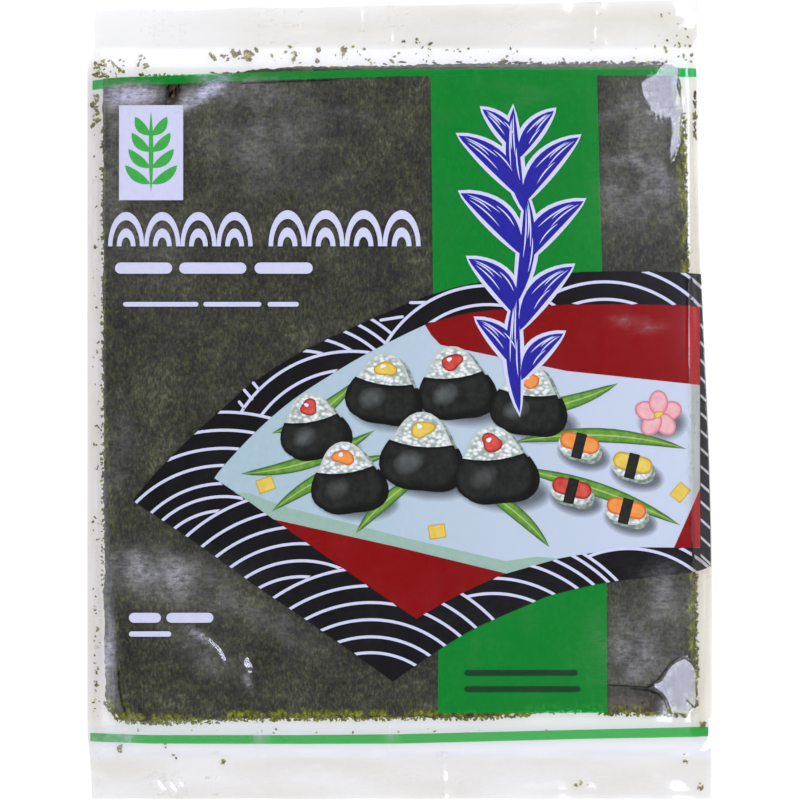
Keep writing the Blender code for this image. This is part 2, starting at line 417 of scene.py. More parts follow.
def sorted_out(values):
    """Parts a node's inputs into plain values and the sockets to link to it."""
    links = {key: value for key, value in values.items() if isinstance(value, bpy.types.NodeSocket)}
    return {key: value for key, value in values.items() if key not in links}, links


def maths(tree, operation, *values):
    """A sum of numbers and sockets."""
    plain, links = sorted_out(dict(enumerate(values)))
    return add(tree, "ShaderNodeMath", {"operation": operation, **plain}, links).outputs[0]


def ranged(tree, value, low, high, to_low=0.0, to_high=1.0):
    """Stretches the span from low to high over another one, and holds it at the ends."""
    span = {"From Min": low, "From Max": high, "To Min": to_low, "To Max": to_high}
    return add(tree, "ShaderNodeMapRange", span, {"Value": value}).outputs[0]


def turning(tree, share, first, second):
    """A colour that turns from the first to the second; each is a hex value or a socket."""
    colours = {6: first, 7: second}
    for key, colour in colours.items():
        colours[key] = linear(colour) if isinstance(colour, str) else colour
    plain, links = sorted_out(colours)
    return add(tree, "ShaderNodeMix", {"data_type": "RGBA", **plain}, {0: share, **links}).outputs[2]


def attribute(tree, name):
    """A value that was set on the corners of the mesh."""
    return add(tree, "ShaderNodeAttribute", {"attribute_name": name}).outputs["Fac"]


def either(tree, share, first, second):
    """Mixes two shaders by a share, which is a number or a socket."""
    plain, links = sorted_out({0: share, 1: first.outputs[0], 2: second.outputs[0]})
    return add(tree, "ShaderNodeMixShader", plain, links)


def show(tree, surface):
    """Makes a shader the material's surface."""
    add(tree, "ShaderNodeOutputMaterial", {}, {"Surface": surface.outputs[0]})


def new_material(name):
    """An empty material and its node tree."""
    material = bpy.data.materials.new(name)
    material.use_nodes = True
    material.node_tree.nodes.clear()
    return material, material.node_tree


def stretched(tree, across, along, seed=0.0):
    """Object coordinates squeezed so that one noise feature is across by along millimetres."""
    place = add(tree, "ShaderNodeTexCoord").outputs["Object"]
    scale = (per_mm(across), per_mm(along), per_mm(across))
    shifted = {"Scale": scale, "Location": (seed, seed * 0.7, seed * 0.3)}
    return add(tree, "ShaderNodeMapping", shifted, {"Vector": place}).outputs["Vector"]


def grain(tree, across, along, seed=0.0, detail=3.0, roughness=0.5, distortion=0.0):
    """Noise with features across by along millimetres."""
    settings = {"Scale": 1.0, "Detail": detail, "Roughness": roughness, "Distortion": distortion}
    place = stretched(tree, across, along, seed)
    return add(tree, "ShaderNodeTexNoise", settings, {"Vector": place}).outputs["Fac"]


def packing_film():
    """Cast polypropylene film, blown thin and heat sealed.

    It shows clear and glossy; grey in the fins, and in the side folds, where the grey is painted shade; lilac
    on the lower slope and in the left fold as a painted reflection; clouded in felted patches with crinkle
    lines, partly a faint cloudiness of the film and mostly painted sheen; and dark along its sharp folds, in
    painted shade.
    """
    material, tree = new_material("cast_polypropylene_film")
    pull = grain(tree, 3.0, 14.0, detail=2.0)
    marked = add(tree, "ShaderNodeBump", {"Strength": 0.5, "Distance": 0.02 * MM}, {"Height": pull})
    stretch_marks = marked.outputs[0]
    facing = add(tree, "ShaderNodeLayerWeight", {"Blend": 0.5}, {"Normal": stretch_marks}).outputs["Facing"]
    mirrored = ranged(tree, maths(tree, "POWER", facing, 5.0), 0.0, 1.0, 0.06, 1.0)
    # Grey: on the fins the film's own, in the side folds painted shade
    tint = turning(tree, attribute(tree, "folded"), "#F7F7F6", "#E5E2D5")
    # A lilac tint, painted on as a reflection of the lights
    lilac_tinted = turning(tree, attribute(tree, "painted_lilac"), tint, "#DCDBE4")
    clear = add(tree, "ShaderNodeBsdfTransparent", {}, {"Color": lilac_tinted})
    gloss = add(tree, "ShaderNodeBsdfAnisotropic", {"Roughness": 0.12, "Color": linear("#F4F4FF")},
                {"Normal": stretch_marks})
    # The milky patches are partly a faint cloudiness of the film and mostly painted sheen of the lights
    milk_and_sheen = attribute(tree, "milkiness_and_sheen")
    patchy = ranged(tree, grain(tree, 7.0, 10.0, 3.0, 4.0), 0.4, 0.62, 0.5, 1.3)
    streaked = ranged(tree, grain(tree, 2.4, 0.9, 6.0, roughness=0.7), 0.35, 0.65, 0.45, 1.45)
    creeping = grain(tree, 6.0, 4.0, 11.0, distortion=0.6)
    off_crinkle = maths(tree, "ABSOLUTE", maths(tree, "SUBTRACT", creeping, 0.5))
    crinkled = maths(tree, "ADD", streaked, ranged(tree, off_crinkle, 0.0, 0.05, 0.4, 0.0))
    milky_and_sheened = maths(tree, "MULTIPLY", milk_and_sheen, maths(tree, "MULTIPLY", patchy, crinkled))
    # Where the patches are strong they turn lilac, as painted reflections of the lights
    haze_and_sheen_colour = turning(tree, maths(tree, "MULTIPLY", milk_and_sheen, 2.4), "#EFECE4", "#E2E2F6")
    haze_and_sheen = add(tree, "ShaderNodeBsdfDiffuse", {}, {"Color": haze_and_sheen_colour})
    surface = either(tree, milky_and_sheened, either(tree, mirrored, clear, gloss), haze_and_sheen)
    # Painted shade along the sharp folds
    dimmed = add(tree, "ShaderNodeBsdfTransparent", {"Color": linear("#5C5C56")})
    show(tree, either(tree, attribute(tree, "painted_fold_shadow"), surface, dimmed))
    return material


def printing_ink(name, colour, mottle, unevenness, cover=1.0, tint="#FFFFFF", border=None, grains=0.0,
                 soft=False, fade=None):
    """Gravure ink behind film: matt, faintly mottled, and thin inks glow over white. Cover is for one face.

    A border colour shows round a shape, grains are spots this many millimetres across, a soft ink thins out
    to nothing at its edge, and fade is a second colour that the first one turns to from left to right.
    """
    material, tree = new_material(name)
    if grains:
        place = stretched(tree, grains, grains * 0.7)
        cells = add(tree, "ShaderNodeTexVoronoi", {"Scale": 1.0}, {"Vector": place})
        spread = ranged(tree, cells.outputs["Distance"], 0.3, 0.72, 0.0, unevenness)
    else:
        spread = ranged(tree, grain(tree, 2.4, 3.0, 1.0, 4.0, 0.65), 0.3, 0.7, 0.0, unevenness)
    laid_down = colour
    if fade:
        place = add(tree, "ShaderNodeSeparateXYZ", {}, {0: add(tree, "ShaderNodeTexCoord").outputs["Object"]})
        over = ranged(tree, place.outputs[0], FADE_START * MM, FADE_END * MM)
        laid_down = turning(tree, over, laid_down, fade)
    laid_down = turning(tree, spread, laid_down, mottle)
    heart = attribute(tree, "heart")
    if border:
        laid_down = turning(tree, heart, border, laid_down)
    matt = {"Roughness": 0.6, "IOR": 1.45, "Specular IOR Level": 0.1}
    surface = add(tree, "ShaderNodeBsdfPrincipled", matt, {"Base Color": laid_down})
    if cover < 1.0:
        bare = add(tree, "ShaderNodeBsdfTransparent", {"Color": linear(tint)})
        surface = either(tree, maths(tree, "MULTIPLY", heart, cover) if soft else cover, bare, surface)
    show(tree, surface)
    return material


def roasted_nori():
    """Pressed and roasted laver: green-black, felted from short fibres that mostly lie along the sheet.

    It shows lighter flecks, a painted grey sheen where its smooth side would catch the light, brown where it
    is scorched, and yellow-green along its thin rim, its own colour there with painted light shining through.
    """
    material, tree = new_material("roasted_pressed_laver")
    fibres = grain(tree, 0.75, 1.5, 0.0, 4.0, 0.65, 0.3)
    clumps = grain(tree, 2.6, 3.4, 5.0, roughness=0.6)
    drifts = grain(tree, 14.0, 17.0, 9.0, detail=2.0)
    felted = maths(tree, "MULTIPLY_ADD", drifts, 0.6, maths(tree, "MULTIPLY_ADD", clumps, 0.6, fibres))
    tones = add(tree, "ShaderNodeValToRGB", {}, {"Fac": ranged(tree, felted, 0.83, 1.38)}, (
        (0.0, "#12130E"), (1.0, "#63644E"), (0.25, "#23241C"), (0.5, "#313228"), (0.75, "#444535")))
    olive = grain(tree, 1.3, 2.2, 21.0, roughness=0.8)
    flecked = turning(tree, ranged(tree, olive, 0.53, 0.7, 0.0, 0.75), tones.outputs["Color"], "#565A2A")
    scorched = maths(tree, "MULTIPLY", attribute(tree, "browned"), clumps)
    drawn_out = ranged(tree, grain(tree, 0.9, 9.0, 14.0, roughness=0.7), 0.36, 0.62)
    # A painted grey sheen on the lower sheets
    shiny = maths(tree, "MULTIPLY", attribute(tree, "painted_sheen"), drawn_out)
    both_sides = turning(tree, shiny, turning(tree, scorched, flecked, "#54463A"), "#66686E")
    # Yellow-green rim: the laver's own colour where thin, with painted light shining through
    rim = ranged(tree, maths(tree, "MULTIPLY", attribute(tree, "thin_rim_and_glow"), fibres), 0.14, 0.4, 0.0, 0.95)
    rim_colour = turning(tree, ranged(tree, olive, 0.4, 0.66), "#3A4206", "#989C2A")
    felt = add(tree, "ShaderNodeBump", {"Strength": 0.6, "Distance": 0.05 * MM}, {"Height": felted})
    satin = {"Roughness": 0.62, "IOR": 1.45, "Specular IOR Level": 0.3}
    show(tree, add(tree, "ShaderNodeBsdfPrincipled", satin, {
        "Base Color": turning(tree, rim, both_sides, rim_colour), "Normal": felt.outputs[0]}))
    return material


def loose_laver(name, dark, middle, light):
    """Torn scraps of laver, mottled from dark to yellow-green; the yellow-green is painted light shining
    through thin laver.
    """
    material, tree = new_material(name)
    scraps = grain(tree, 1.4, 1.4, 2.0, roughness=0.8)
    tones = add(tree, "ShaderNodeValToRGB", {}, {"Fac": scraps}, ((0.36, dark), (0.66, light), (0.5, middle)))
    satin = {"Roughness": 0.6, "IOR": 1.45, "Specular IOR Level": 0.3}
    show(tree, add(tree, "ShaderNodeBsdfPrincipled", satin, {"Base Color": tones.outputs["Color"]}))
    return material


# Making meshes

SHARP_ANGLE = math.radians(50)


def finish_piece(name, body, material):
    """Closes a bmesh into a piece that rides with the pack."""
    bmesh.ops.triangulate(body, faces=[face for face in body.faces if len(face.verts) > 4])
    bmesh.ops.recalc_face_normals(body, faces=body.faces[:])
    for edge in body.edges:
        if edge.calc_face_angle(0.0) > SHARP_ANGLE:
            edge.smooth = False
    mesh = bpy.data.meshes.new(name)
    body.to_mesh(mesh)
    body.free()
    mesh.materials.append(material)
    mesh.shade_smooth()
    piece = bpy.data.objects.new(name, mesh)
    bpy.context.scene.collection.objects.link(piece)
    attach(piece, "root")
    return piece


def spaced(low, high, cell):
    """Positions from low up to, but not at, high, evenly spaced and about one cell apart."""
    steps = max(1, round((high - low) / cell))
    return [low + (high - low) * step / steps for step in range(steps)]


def cut_lines(low, high, calm_low, calm_high, calm_cell, edge_cell):
    """Grid lines from low to high, closer together outside the calm middle of the pack."""
    stops = [low] + [stop for stop in (calm_low, calm_high) if low < stop < high] + [high]
    lines = []
    for start, end in zip(stops, stops[1:]):
        calm = calm_low <= (start + end) / 2 <= calm_high
        lines += spaced(start, end, calm_cell if calm else edge_cell)
    return lines + [high]


CALM_X = 90.0                   # the film is calm this far to each side of the middle, so that print there
CALM_Y = 99.0                   # can have larger cells


def add_loop(body, points):
    """A closed loop of edges through flat points."""
    corners = [body.verts.new((x * MM, y * MM, 0.0)) for x, y in points]
    return [body.edges.new(pair) for pair in sides_of(corners)]


def fill(body, loops):
    """Fills an outline, less the holes in it, with flat faces."""
    edges = [edge for loop in loops for edge in add_loop(body, loop)]
    if len(loops) == 1:
        bmesh.ops.contextual_create(body, geom=edges)
    else:
        bmesh.ops.triangle_fill(body, use_beauty=True, use_dissolve=False, edges=edges)


def cut_faces(body, faces, through, across, folded=False):
    """Cuts faces along a plane, and gives back the faces that there are then."""
    parts = set(faces)
    for face in faces:
        parts.update(face.edges)
        parts.update(face.verts)
    cut = bmesh.ops.bisect_plane(body, geom=list(parts), dist=1e-7, plane_co=through, plane_no=across)
    for item in cut["geom_cut"]:
        if folded and isinstance(item, bmesh.types.BMEdge):
            item.smooth = False
    return [item for item in cut["geom"] if isinstance(item, bmesh.types.BMFace)]


def cut_at_lines(body, faces, axis, lines):
    """Cuts faces at the middle one of the lines, then each half at the lines on its own side."""
    if not lines or not faces:
        return
    middle = len(lines) // 2
    through = Vector((0.0, 0.0, 0.0))
    across = Vector((0.0, 0.0, 0.0))
    through[axis] = lines[middle] * MM
    across[axis] = 1.0
    low, high = [], []
    for face in cut_faces(body, faces, through, across):
        (low if face.calc_center_median()[axis] < through[axis] else high).append(face)
    cut_at_lines(body, low, axis, lines[:middle])
    cut_at_lines(body, high, axis, lines[middle + 1:])


def cut_into_cells(body, calm_cell, edge_cell):
    """Cuts flat faces along grid lines, so that they can follow the film."""
    for axis, calm in ((0, CALM_X), (1, CALM_Y)):
        places = [vertex.co[axis] / MM for vertex in body.verts]
        lines = cut_lines(min(places), max(places), -calm, calm, calm_cell, edge_cell)[1:-1]
        cut_at_lines(body, body.faces[:], axis, lines)


def thicken(body, thickness):
    """Gives flat faces a body below them."""
    lower = bmesh.ops.extrude_face_region(body, geom=body.faces[:])["geom"]
    bmesh.ops.translate(body, verts=[item for item in lower if isinstance(item, bmesh.types.BMVert)],
                        vec=(0, 0, -thickness * MM))


def lay_under_film(body, depth, surface=front_film):
    """Lays a flat body against the film, this far behind it."""
    for vertex in body.verts:
        height = surface(vertex.co.x / MM, vertex.co.y / MM)
        vertex.co.z += (height - depth) * MM


def join(body, one):
    """Adds one small body to a larger one."""
    carrier = bpy.data.meshes.new("carrier")
    one.to_mesh(carrier)
    one.free()
    body.from_mesh(carrier)
    bpy.data.meshes.remove(carrier)


def printed(name, shapes, depth, material, slot, calm_cell=2.5, edge_cell=1.0, step=0.0, border=0.0):
    """One field of print, or several: each shape is a list of loops, the first its outline, the rest holes.

    The attribute heart rises from 0 at a shape's outline to 1 past its border.
    """
    body = bmesh.new()
    body.verts.layers.float.new("heart")
    for place, loops in enumerate(shapes):
        one = bmesh.new()
        fill(one, loops)
        heart = one.verts.layers.float.new("heart")
        if border:
            outer = set(one.verts)
            bmesh.ops.inset_region(one, faces=one.faces[:], thickness=border * MM, use_boundary=True)
            for vertex in one.verts:
                vertex[heart] = 0.0 if vertex in outer else 1.0
        bmesh.ops.translate(one, verts=one.verts[:], vec=(0, 0, -place * step * MM))
        join(body, one)
    cut_into_cells(body, calm_cell, edge_cell)
    thicken(body, INK_THICKNESS)
    lay_under_film(body, depth)
    return finish_piece(name, body, material)


def curved(points, steps=4):
    """Points along a smooth curve through the given ones."""
    run = []
    for place in range(len(points) - 1):
        before = points[max(place - 1, 0)]
        start, end = points[place], points[place + 1]
        after = points[min(place + 2, len(points) - 1)]
        for step in range(steps):
            t = step / steps
            run.append(tuple(
                0.5 * (2 * start[axis] + (end[axis] - before[axis]) * t
                       + (2 * before[axis] - 5 * start[axis] + 4 * end[axis] - after[axis]) * t * t
                       + (3 * start[axis] - before[axis] - 3 * end[axis] + after[axis]) * t ** 3)
                for axis in (0, 1)))
    return run + [points[-1]]


def rectangle(left, top, right, bottom):
    """The four corners, from the top left one to the right."""
    return [(left, top), (right, top), (right, bottom), (left, bottom)]


def placed(points, middle, turn):
    """Points turned by so many degrees and moved to a place."""
    c, s = math.cos(math.radians(turn)), math.sin(math.radians(turn))
    return [(middle[0] + x * c - y * s, middle[1] + x * s + y * c) for x, y in points]


def arc(middle, half_width, half_height, degrees):
    """Points round an oval at these degrees."""
    angles = [math.radians(degree) for degree in degrees]
    return [(middle[0] + half_width * math.cos(a), middle[1] + half_height * math.sin(a)) for a in angles]


def rounded_bar(start, end, width, steps=8):
    """A bar with half-round ends from start to end."""
    turn = math.degrees(math.atan2(end[1] - start[1], end[0] - start[0]))
    loop = []
    for centre, first in ((end, turn - 90), (start, turn + 90)):
        loop += arc(centre, width / 2, width / 2, [first + 180 * step / steps for step in range(steps + 1)])
    return loop


def ellipse(centre, half_width, half_height, turn=0.0, steps=28):
    """An oval, turned by so many degrees."""
    oval = arc((0.0, 0.0), half_width, half_height, [360 * step / steps for step in range(steps)])
    return placed(oval, centre, turn)


BLADE_FULLNESS = 0.75           # below 1 a blade is fuller towards its points


def blade(start, end, width, bend=0.0, grow=0.0, steps=12):
    """A leaf or frond blade, pointed at both ends and bent to one side; grow adds a border all round."""
    length, ahead = heading(start, end)
    left, right = [], []
    for step in range(steps + 1):
        t = step / steps
        along = -grow + (length + 2 * grow) * t
        aside = bend * 4 * t * (1 - t)
        half = (width / 2 + grow) * math.sin(math.pi * t) ** BLADE_FULLNESS
        left.append(off_run(start, ahead, along, aside + half))
        right.append(off_run(start, ahead, along, aside - half))
    return left[:-1] + right[:0:-1]


# Outlines of the printed fan

FAN_TOP = curved([(-85.6, -32.4), (-77.8, -23.2), (-66.6, -11.9), (-53.7, -0.3), (-47.9, 4.6),
                  (-30.2, 15.8), (0.1, 29.6), (10.7, 33.6), (24.6, 37.2), (54.2, 40.4), (64.8, 40.9),
                  (82.2, 40.9), (97.0, 40.2)])
FAN_LOW = curved([(100.1, -53.8), (95.1, -55.4), (82.2, -57.0), (66.4, -58.9), (49.3, -62.8), (41.3, -66.0),
                  (24.6, -73.4), (12.3, -80.7), (0.1, -89.0), (-2.2, -90.6)])
FAN_LOW_LEFT = curved([(-2.2, -90.6), (-14.4, -81.8), (-30.2, -70.8), (-46.6, -59.6), (-65.0, -46.4),
                       (-84.9, -33.2)])
INSIDE_RIGHT = 96.5
INSIDE_RIGHT_TOP = 29.6
INSIDE_RIGHT_BOTTOM = -47.8
INSIDE_TOP = curved([(-59.5, -25.4), (-56.6, -21.6), (-46.6, -10.9), (-34.4, -0.3), (-19.6, 9.3),
                     (-11.2, 14.2), (0.1, 20.0), (8.1, 23.8)])
INSIDE_TOP_RIGHT = curved([(8.1, 23.8), (22.9, 27.7), (46.8, 29.8), (56.8, 30.3), (82.2, 30.3),
                           (INSIDE_RIGHT, INSIDE_RIGHT_TOP)])
INSIDE_LOW = curved([(INSIDE_RIGHT, INSIDE_RIGHT_BOTTOM), (74.1, -47.7), (62.5, -49.3), (51.0, -51.2),
                     (41.3, -53.8), (34.2, -56.0)])
INSIDE_TIP = curved([(34.2, -56.0), (29.6, -57.8), (16.5, -64.1), (5.4, -70.5)])
INSIDE_TIP_LEFT = curved([(5.4, -70.5), (0.1, -67.0), (-14.4, -57.0), (-28.6, -47.0), (-40.5, -38.6)])
INSIDE_LEFT = [(-40.5, -38.6), (-50.8, -31.2), (-59.5, -25.4)]


PRINT_OFF_EDGE = 0.25           # the print stops this far short of the pack's own edge


def pack_side(y):
    """Where print that runs to the right edge of the pack ends at this height of the front."""
    return outline(HALF_WIDTH, y)[0] - PRINT_OFF_EDGE


FAN_SIDE = [(pack_side(y), y) for y in (36.0, 20.0, 0.0, -20.0, -40.0)]
FAN_OUTSIDE = FAN_TOP + FAN_SIDE + FAN_LOW[:-1] + FAN_LOW_LEFT
FAN_INSIDE = (INSIDE_TOP[:-1] + INSIDE_TOP_RIGHT + INSIDE_LOW[:-1] + INSIDE_TIP[:-1] + INSIDE_TIP_LEFT[:-1]
              + INSIDE_LEFT[:-1])


# The wave scales on the fan: middle, radii of their lines, and the scales that lie over them
WAVE_LINE = 0.95                # width of a line, and how far apart its points are
WAVE_LINE_STEP = 1.5
WAVE_SCALES = {
    "low": ((-9.3, -108.8), (27.4, 32.5, 38.0, 43.5, 48.9, 54.7), ()),
    "low_left": ((-31.5, -84.4), (27.4, 32.5, 38.0, 43.5, 48.9, 54.7), ("low",)),
    "left": ((-56.3, -60.9), (25.1, 29.6, 33.8, 39.6, 45.1, 50.9, 56.7), ("low_left",)),
    "upper_left": ((-15.4, -26.7), (36.1, 42.0), ("left",)),
    "upper": ((28.4, -1.9), (32.2, 38.3), ()),
    "upper_right": ((65.8, 0.0), (32.0, 37.6, 42.8, 47.6), ("upper",)),
    "behind": ((-32.1, -13.2), (28.7, 33.2, 37.7, 41.5, 45.1), ("upper_left", "upper", "left")),
    "low_right": ((30.0, -96.9), (34.5, 39.4, 45.1, 49.3, 53.1, 55.4), ("low",)),
    "far_right": ((73.5, -82.4), (34.4, 38.3, 46.4, 51.5), ("low_right",)),
}
SHORT_WAVE_LINES = (
    ((-47.0, 5.2), (-45.1, 2.9)), ((-49.9, 2.9), (-47.4, 0.0)), ((-51.5, -0.9), (-49.9, -2.9)),
    ((-6.1, 25.3), (0.9, 26.4)), ((3.4, 30.9), (8.3, 31.0)),
)


def on_wave(scale, x, y):
    """True where this scale's lines show on the fan."""
    if x > INSIDE_RIGHT and INSIDE_RIGHT_BOTTOM < y < INSIDE_RIGHT_TOP:
        return False
    if not within(FAN_OUTSIDE, x, y) or within(FAN_INSIDE, x, y):
        return False
    for over in WAVE_SCALES[scale][2]:
        centre, radii, _ = WAVE_SCALES[over]
        if math.dist(centre, (x, y)) < radii[-1] + WAVE_LINE / 2:
            return False
    return True


def shows_at(scale, radius, degree):
    """True where the line of this radius shows in a direction from its scale's middle."""
    return on_wave(scale, *round_about(WAVE_SCALES[scale][0], radius, math.radians(degree)))


def wave_runs(scale, radius):
    """Start and end angles of the parts of one line that show."""
    shows = [shows_at(scale, radius, degree) for degree in range(361)]
    runs, start = [], None
    for degree in range(1, 361):
        if shows[degree] and not shows[degree - 1]:
            start = degree
        if start is not None and shows[degree - 1] and not shows[degree]:
            runs.append((start, degree - 1))
            start = None
    return runs


def run_end(scale, radius, showing, hidden):
    """The angle in degrees between the two at which a line goes out of sight."""
    for _ in range(9):
        middle = (showing + hidden) / 2
        if shows_at(scale, radius, middle):
            showing = middle
        else:
            hidden = middle
    return showing


def chain(body, points):
    """An open run of edges through flat points."""
    corners = [body.verts.new((x * MM, y * MM, 0.0)) for x, y in points]
    return [body.edges.new(pair) for pair in zip(corners, corners[1:])]


def wave_line(body, scale, radius, start, end):
    """One pale line as a ribbon whose two sides each end on the border."""
    centre = WAVE_SCALES[scale][0]
    sides = []
    for side in (radius - WAVE_LINE / 2, radius + WAVE_LINE / 2):
        ends = []
        for showing, outward in ((start, -1), (end, 1)):
            inside = showing if shows_at(scale, side, showing) else showing - 2.0 * outward
            ends.append(run_end(scale, side, inside, showing + 1.2 * outward))
        steps = max(2, round(math.radians(end - start) * radius / WAVE_LINE_STEP))
        degrees = [ends[0] + (ends[1] - ends[0]) * step / steps for step in range(steps + 1)]
        sides.append(chain(body, arc(centre, side, side, degrees)))
    bmesh.ops.bridge_loops(body, edges=sides[0] + sides[1])


def wave_lines():
    """All pale lines of the overlapping wave scales, cut off at the fan's borders."""
    body = bmesh.new()
    for scale, (_, radii, _) in WAVE_SCALES.items():
        for radius in radii:
            for start, end in wave_runs(scale, radius):
                if end > start:
                    wave_line(body, scale, radius, start, end)
    for start, end in SHORT_WAVE_LINES:
        fill(body, [rounded_bar(start, end, WAVE_LINE, 3)])
    thicken(body, INK_THICKNESS)
    depth, what, slot, _ = LAYERS["wave_lines"]
    lay_under_film(body, depth)
    return finish_piece("print_wave_lines", body, ink(what))


def cloud_and_sheen_over(x, y):
    """How much the film's cloudy places cloud it at a point: partly a faint cloudiness, mostly painted sheen.
    """
    cloud = 0.0
    for middle_x, middle_y, reach_x, reach_y, turn, most in CLOUD_AND_SHEEN_PLACES:
        ahead = (math.cos(math.radians(turn)), math.sin(math.radians(turn)))
        along = ((x - middle_x) * ahead[0] + (y - middle_y) * ahead[1]) / reach_x
        aside = ((y - middle_y) * ahead[0] - (x - middle_x) * ahead[1]) / reach_y
        cloud += most * math.exp(-along * along - aside * aside)
    return max(cloud * CLEARER_OVER_BAND if within(BAND, x, y) else cloud, 0.0)


# Where the fins and the side folds begin: not yet at the first number, fully at the second
TOP_FIN = (112.5, 114.5)
BOTTOM_FIN = (-114.5, -116.5)
BOTTOM_SLOPE = (-103.0, -106.0)
LEFT_FOLD = (STACK_LEFT + 1, STACK_LEFT - 1.5)
RIGHT_FOLD = (STACK_RIGHT - 2.5, STACK_RIGHT)
TOP_FIN_GREY = 0.44
BOTTOM_FIN_GREY = 0.36
# The lilac shares below are a painted reflection of the lights on the slope, the left fold and the fins
SLOPE_LILAC = 0.36
LEFT_FOLD_LILAC = 0.37
BOTTOM_FIN_LILAC = 0.16
TOP_FIN_LILAC = 0.08


def fold_shade(x, y):
    """How much the film greys what is behind it: on the fins the film's own grey, and most in the side folds,
    which are seen nearly edge on, where the grey is painted shade.
    """
    beside = max(smooth_step(x, *LEFT_FOLD), smooth_step(x, *RIGHT_FOLD))
    along = smooth_step(abs(y), 112.0, 100.0)
    on_fold = beside * along * min(max(0.85 + 0.7 * uneven(x, y, 1.2, 22.0, 2.0), 0.0), 1.0)
    clouds = 1.0 + 0.9 * uneven(x, y, 26.0, 7.0, 5.0)
    on_top_fin = TOP_FIN_GREY * smooth_step(y, *TOP_FIN) * smooth_step(x, -88.0, -32.0)
    on_bottom_fin = BOTTOM_FIN_GREY * smooth_step(y, *BOTTOM_FIN)
    return on_fold + (on_top_fin + on_bottom_fin) * clouds


def painted_lilac_share(x, y):
    """How far the film is tinted lilac as a painted reflection of the lights: on the lower slope and in the
    left side fold, a little on the fins.
    """
    on_slope = SLOPE_LILAC * smooth_step(y, *BOTTOM_SLOPE) * smooth_step(y, *BOTTOM_FIN[::-1])
    in_left_fold = LEFT_FOLD_LILAC * smooth_step(x, *LEFT_FOLD) * smooth_step(abs(y), 110.0, 100.0)
    on_fins = BOTTOM_FIN_LILAC * smooth_step(y, *BOTTOM_FIN) + TOP_FIN_LILAC * smooth_step(y, *TOP_FIN)
    return max(on_slope, in_left_fold, on_fins)


# The film's grid: where it is calm, and how fine it is there and near the edges
FILM_CALM_X = (-92.0, 90.0)
FILM_CALM_Y = (-100.0, 100.0)
FILM_CELL = 1.4
FILM_EDGE_CELL_X = 0.8
FILM_EDGE_CELL_Y = 0.9


def film_pouch():
    """The film: front and back joined along the side folds and round the two fins."""
    body = bmesh.new()
    x_lines = cut_lines(-HALF_WIDTH, HALF_WIDTH, *FILM_CALM_X, FILM_CELL, FILM_EDGE_CELL_X)
    y_lines = cut_lines(-HALF_LENGTH, HALF_LENGTH, *FILM_CALM_Y, FILM_CELL, FILM_EDGE_CELL_Y)
    columns, rows = len(x_lines) - 1, len(y_lines) - 1
    bmesh.ops.create_grid(body, x_segments=columns, y_segments=rows, size=0.5)
    for vertex in body.verts:
        flat_x = x_lines[round((vertex.co.x + 0.5) * columns)]
        flat_y = y_lines[round((vertex.co.y + 0.5) * rows)]
        x, y = outline(flat_x, flat_y)
        vertex.co = Vector((x * MM, y * MM, 0.0))
    for crease in CREASES + SHARP_CREASES:
        start, end, _, *runs = crease
        cut_along_crease(body, start, end, *runs, crease in SHARP_CREASES)
    for facet in FACETS:
        cut_round_facet(body, facet[0])
    for run in PAINTED_FOLD_SHADOWS:
        for start, end in zip(run, run[1:]):
            cut_along_crease(body, start, end, FOLD_HALF_WIDTH, FOLD_HALF_WIDTH, 0.0, False)
    lower = bmesh.ops.extrude_face_region(body, geom=body.faces[:])["geom"]
    back = {item for item in lower if isinstance(item, bmesh.types.BMVert)}
    new_layer = body.verts.layers.float.new
    milkiness_and_sheen, folded, painted_lilac, painted_fold_shadow = [
        new_layer(name) for name in ("milkiness_and_sheen", "folded", "painted_lilac", "painted_fold_shadow")]
    for vertex in body.verts:
        x, y = vertex.co.x / MM, vertex.co.y / MM
        # The grey in the side folds is painted shade; on the fins it is the film's own
        vertex[folded] = fold_shade(x, y)
        # The lilac tint is a painted reflection of the lights
        vertex[painted_lilac] = painted_lilac_share(x, y)
        vertex[milkiness_and_sheen] = FILM_MILKINESS
        if vertex in back:
            vertex.co.z = back_film(x, y) * MM
        else:
            vertex.co.z = front_film(x, y) * MM
            # The cloudy places add milkiness that is partly the film's own and mostly painted sheen
            vertex[milkiness_and_sheen] += cloud_and_sheen_over(x, y)
            # Painted shade along the sharp folds
            from_fold = min(from_line(run, x, y) for run in PAINTED_FOLD_SHADOWS)
            vertex[painted_fold_shadow] = FOLD_DARKNESS * max(0.0, 1.0 - from_fold / FOLD_HALF_WIDTH)
    piece = finish_piece("film_pouch", body, packing_film())
    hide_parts("nori_pack")
    return piece


def along_and_aside(start, end):
    """A run's length, its first point in metres, and its directions ahead and to the right."""
    length, ahead = heading(start, end)
    return length, Vector((*start, 0.0)) * MM, Vector((*ahead, 0.0)), Vector((ahead[1], -ahead[0], 0.0))


def cut_along_crease(body, start, end, left_run, right_run, end_run, sharp):
    """Cuts the film's grid along a crease and the feet of its flanks, so that they come out straight."""
    length, first, ahead, aside = along_and_aside(start, end)
    near = []
    for face in body.faces:
        middle = (face.calc_center_median() - first) / MM
        if -end_run - 1 < middle.dot(ahead) < length + end_run + 1:
            if -left_run - 1 < middle.dot(aside) < right_run + 1:
                near.append(face)
    for offset in (0.0, right_run, -left_run):
        near = cut_faces(body, near, first + aside * offset * MM, aside, sharp)


CUT_PAST_ENDS = 0.7             # how far the cuts along a facet's side run past its ends,
CUT_REACH = 1.3                 # and how far off that side a face may lie to be cut


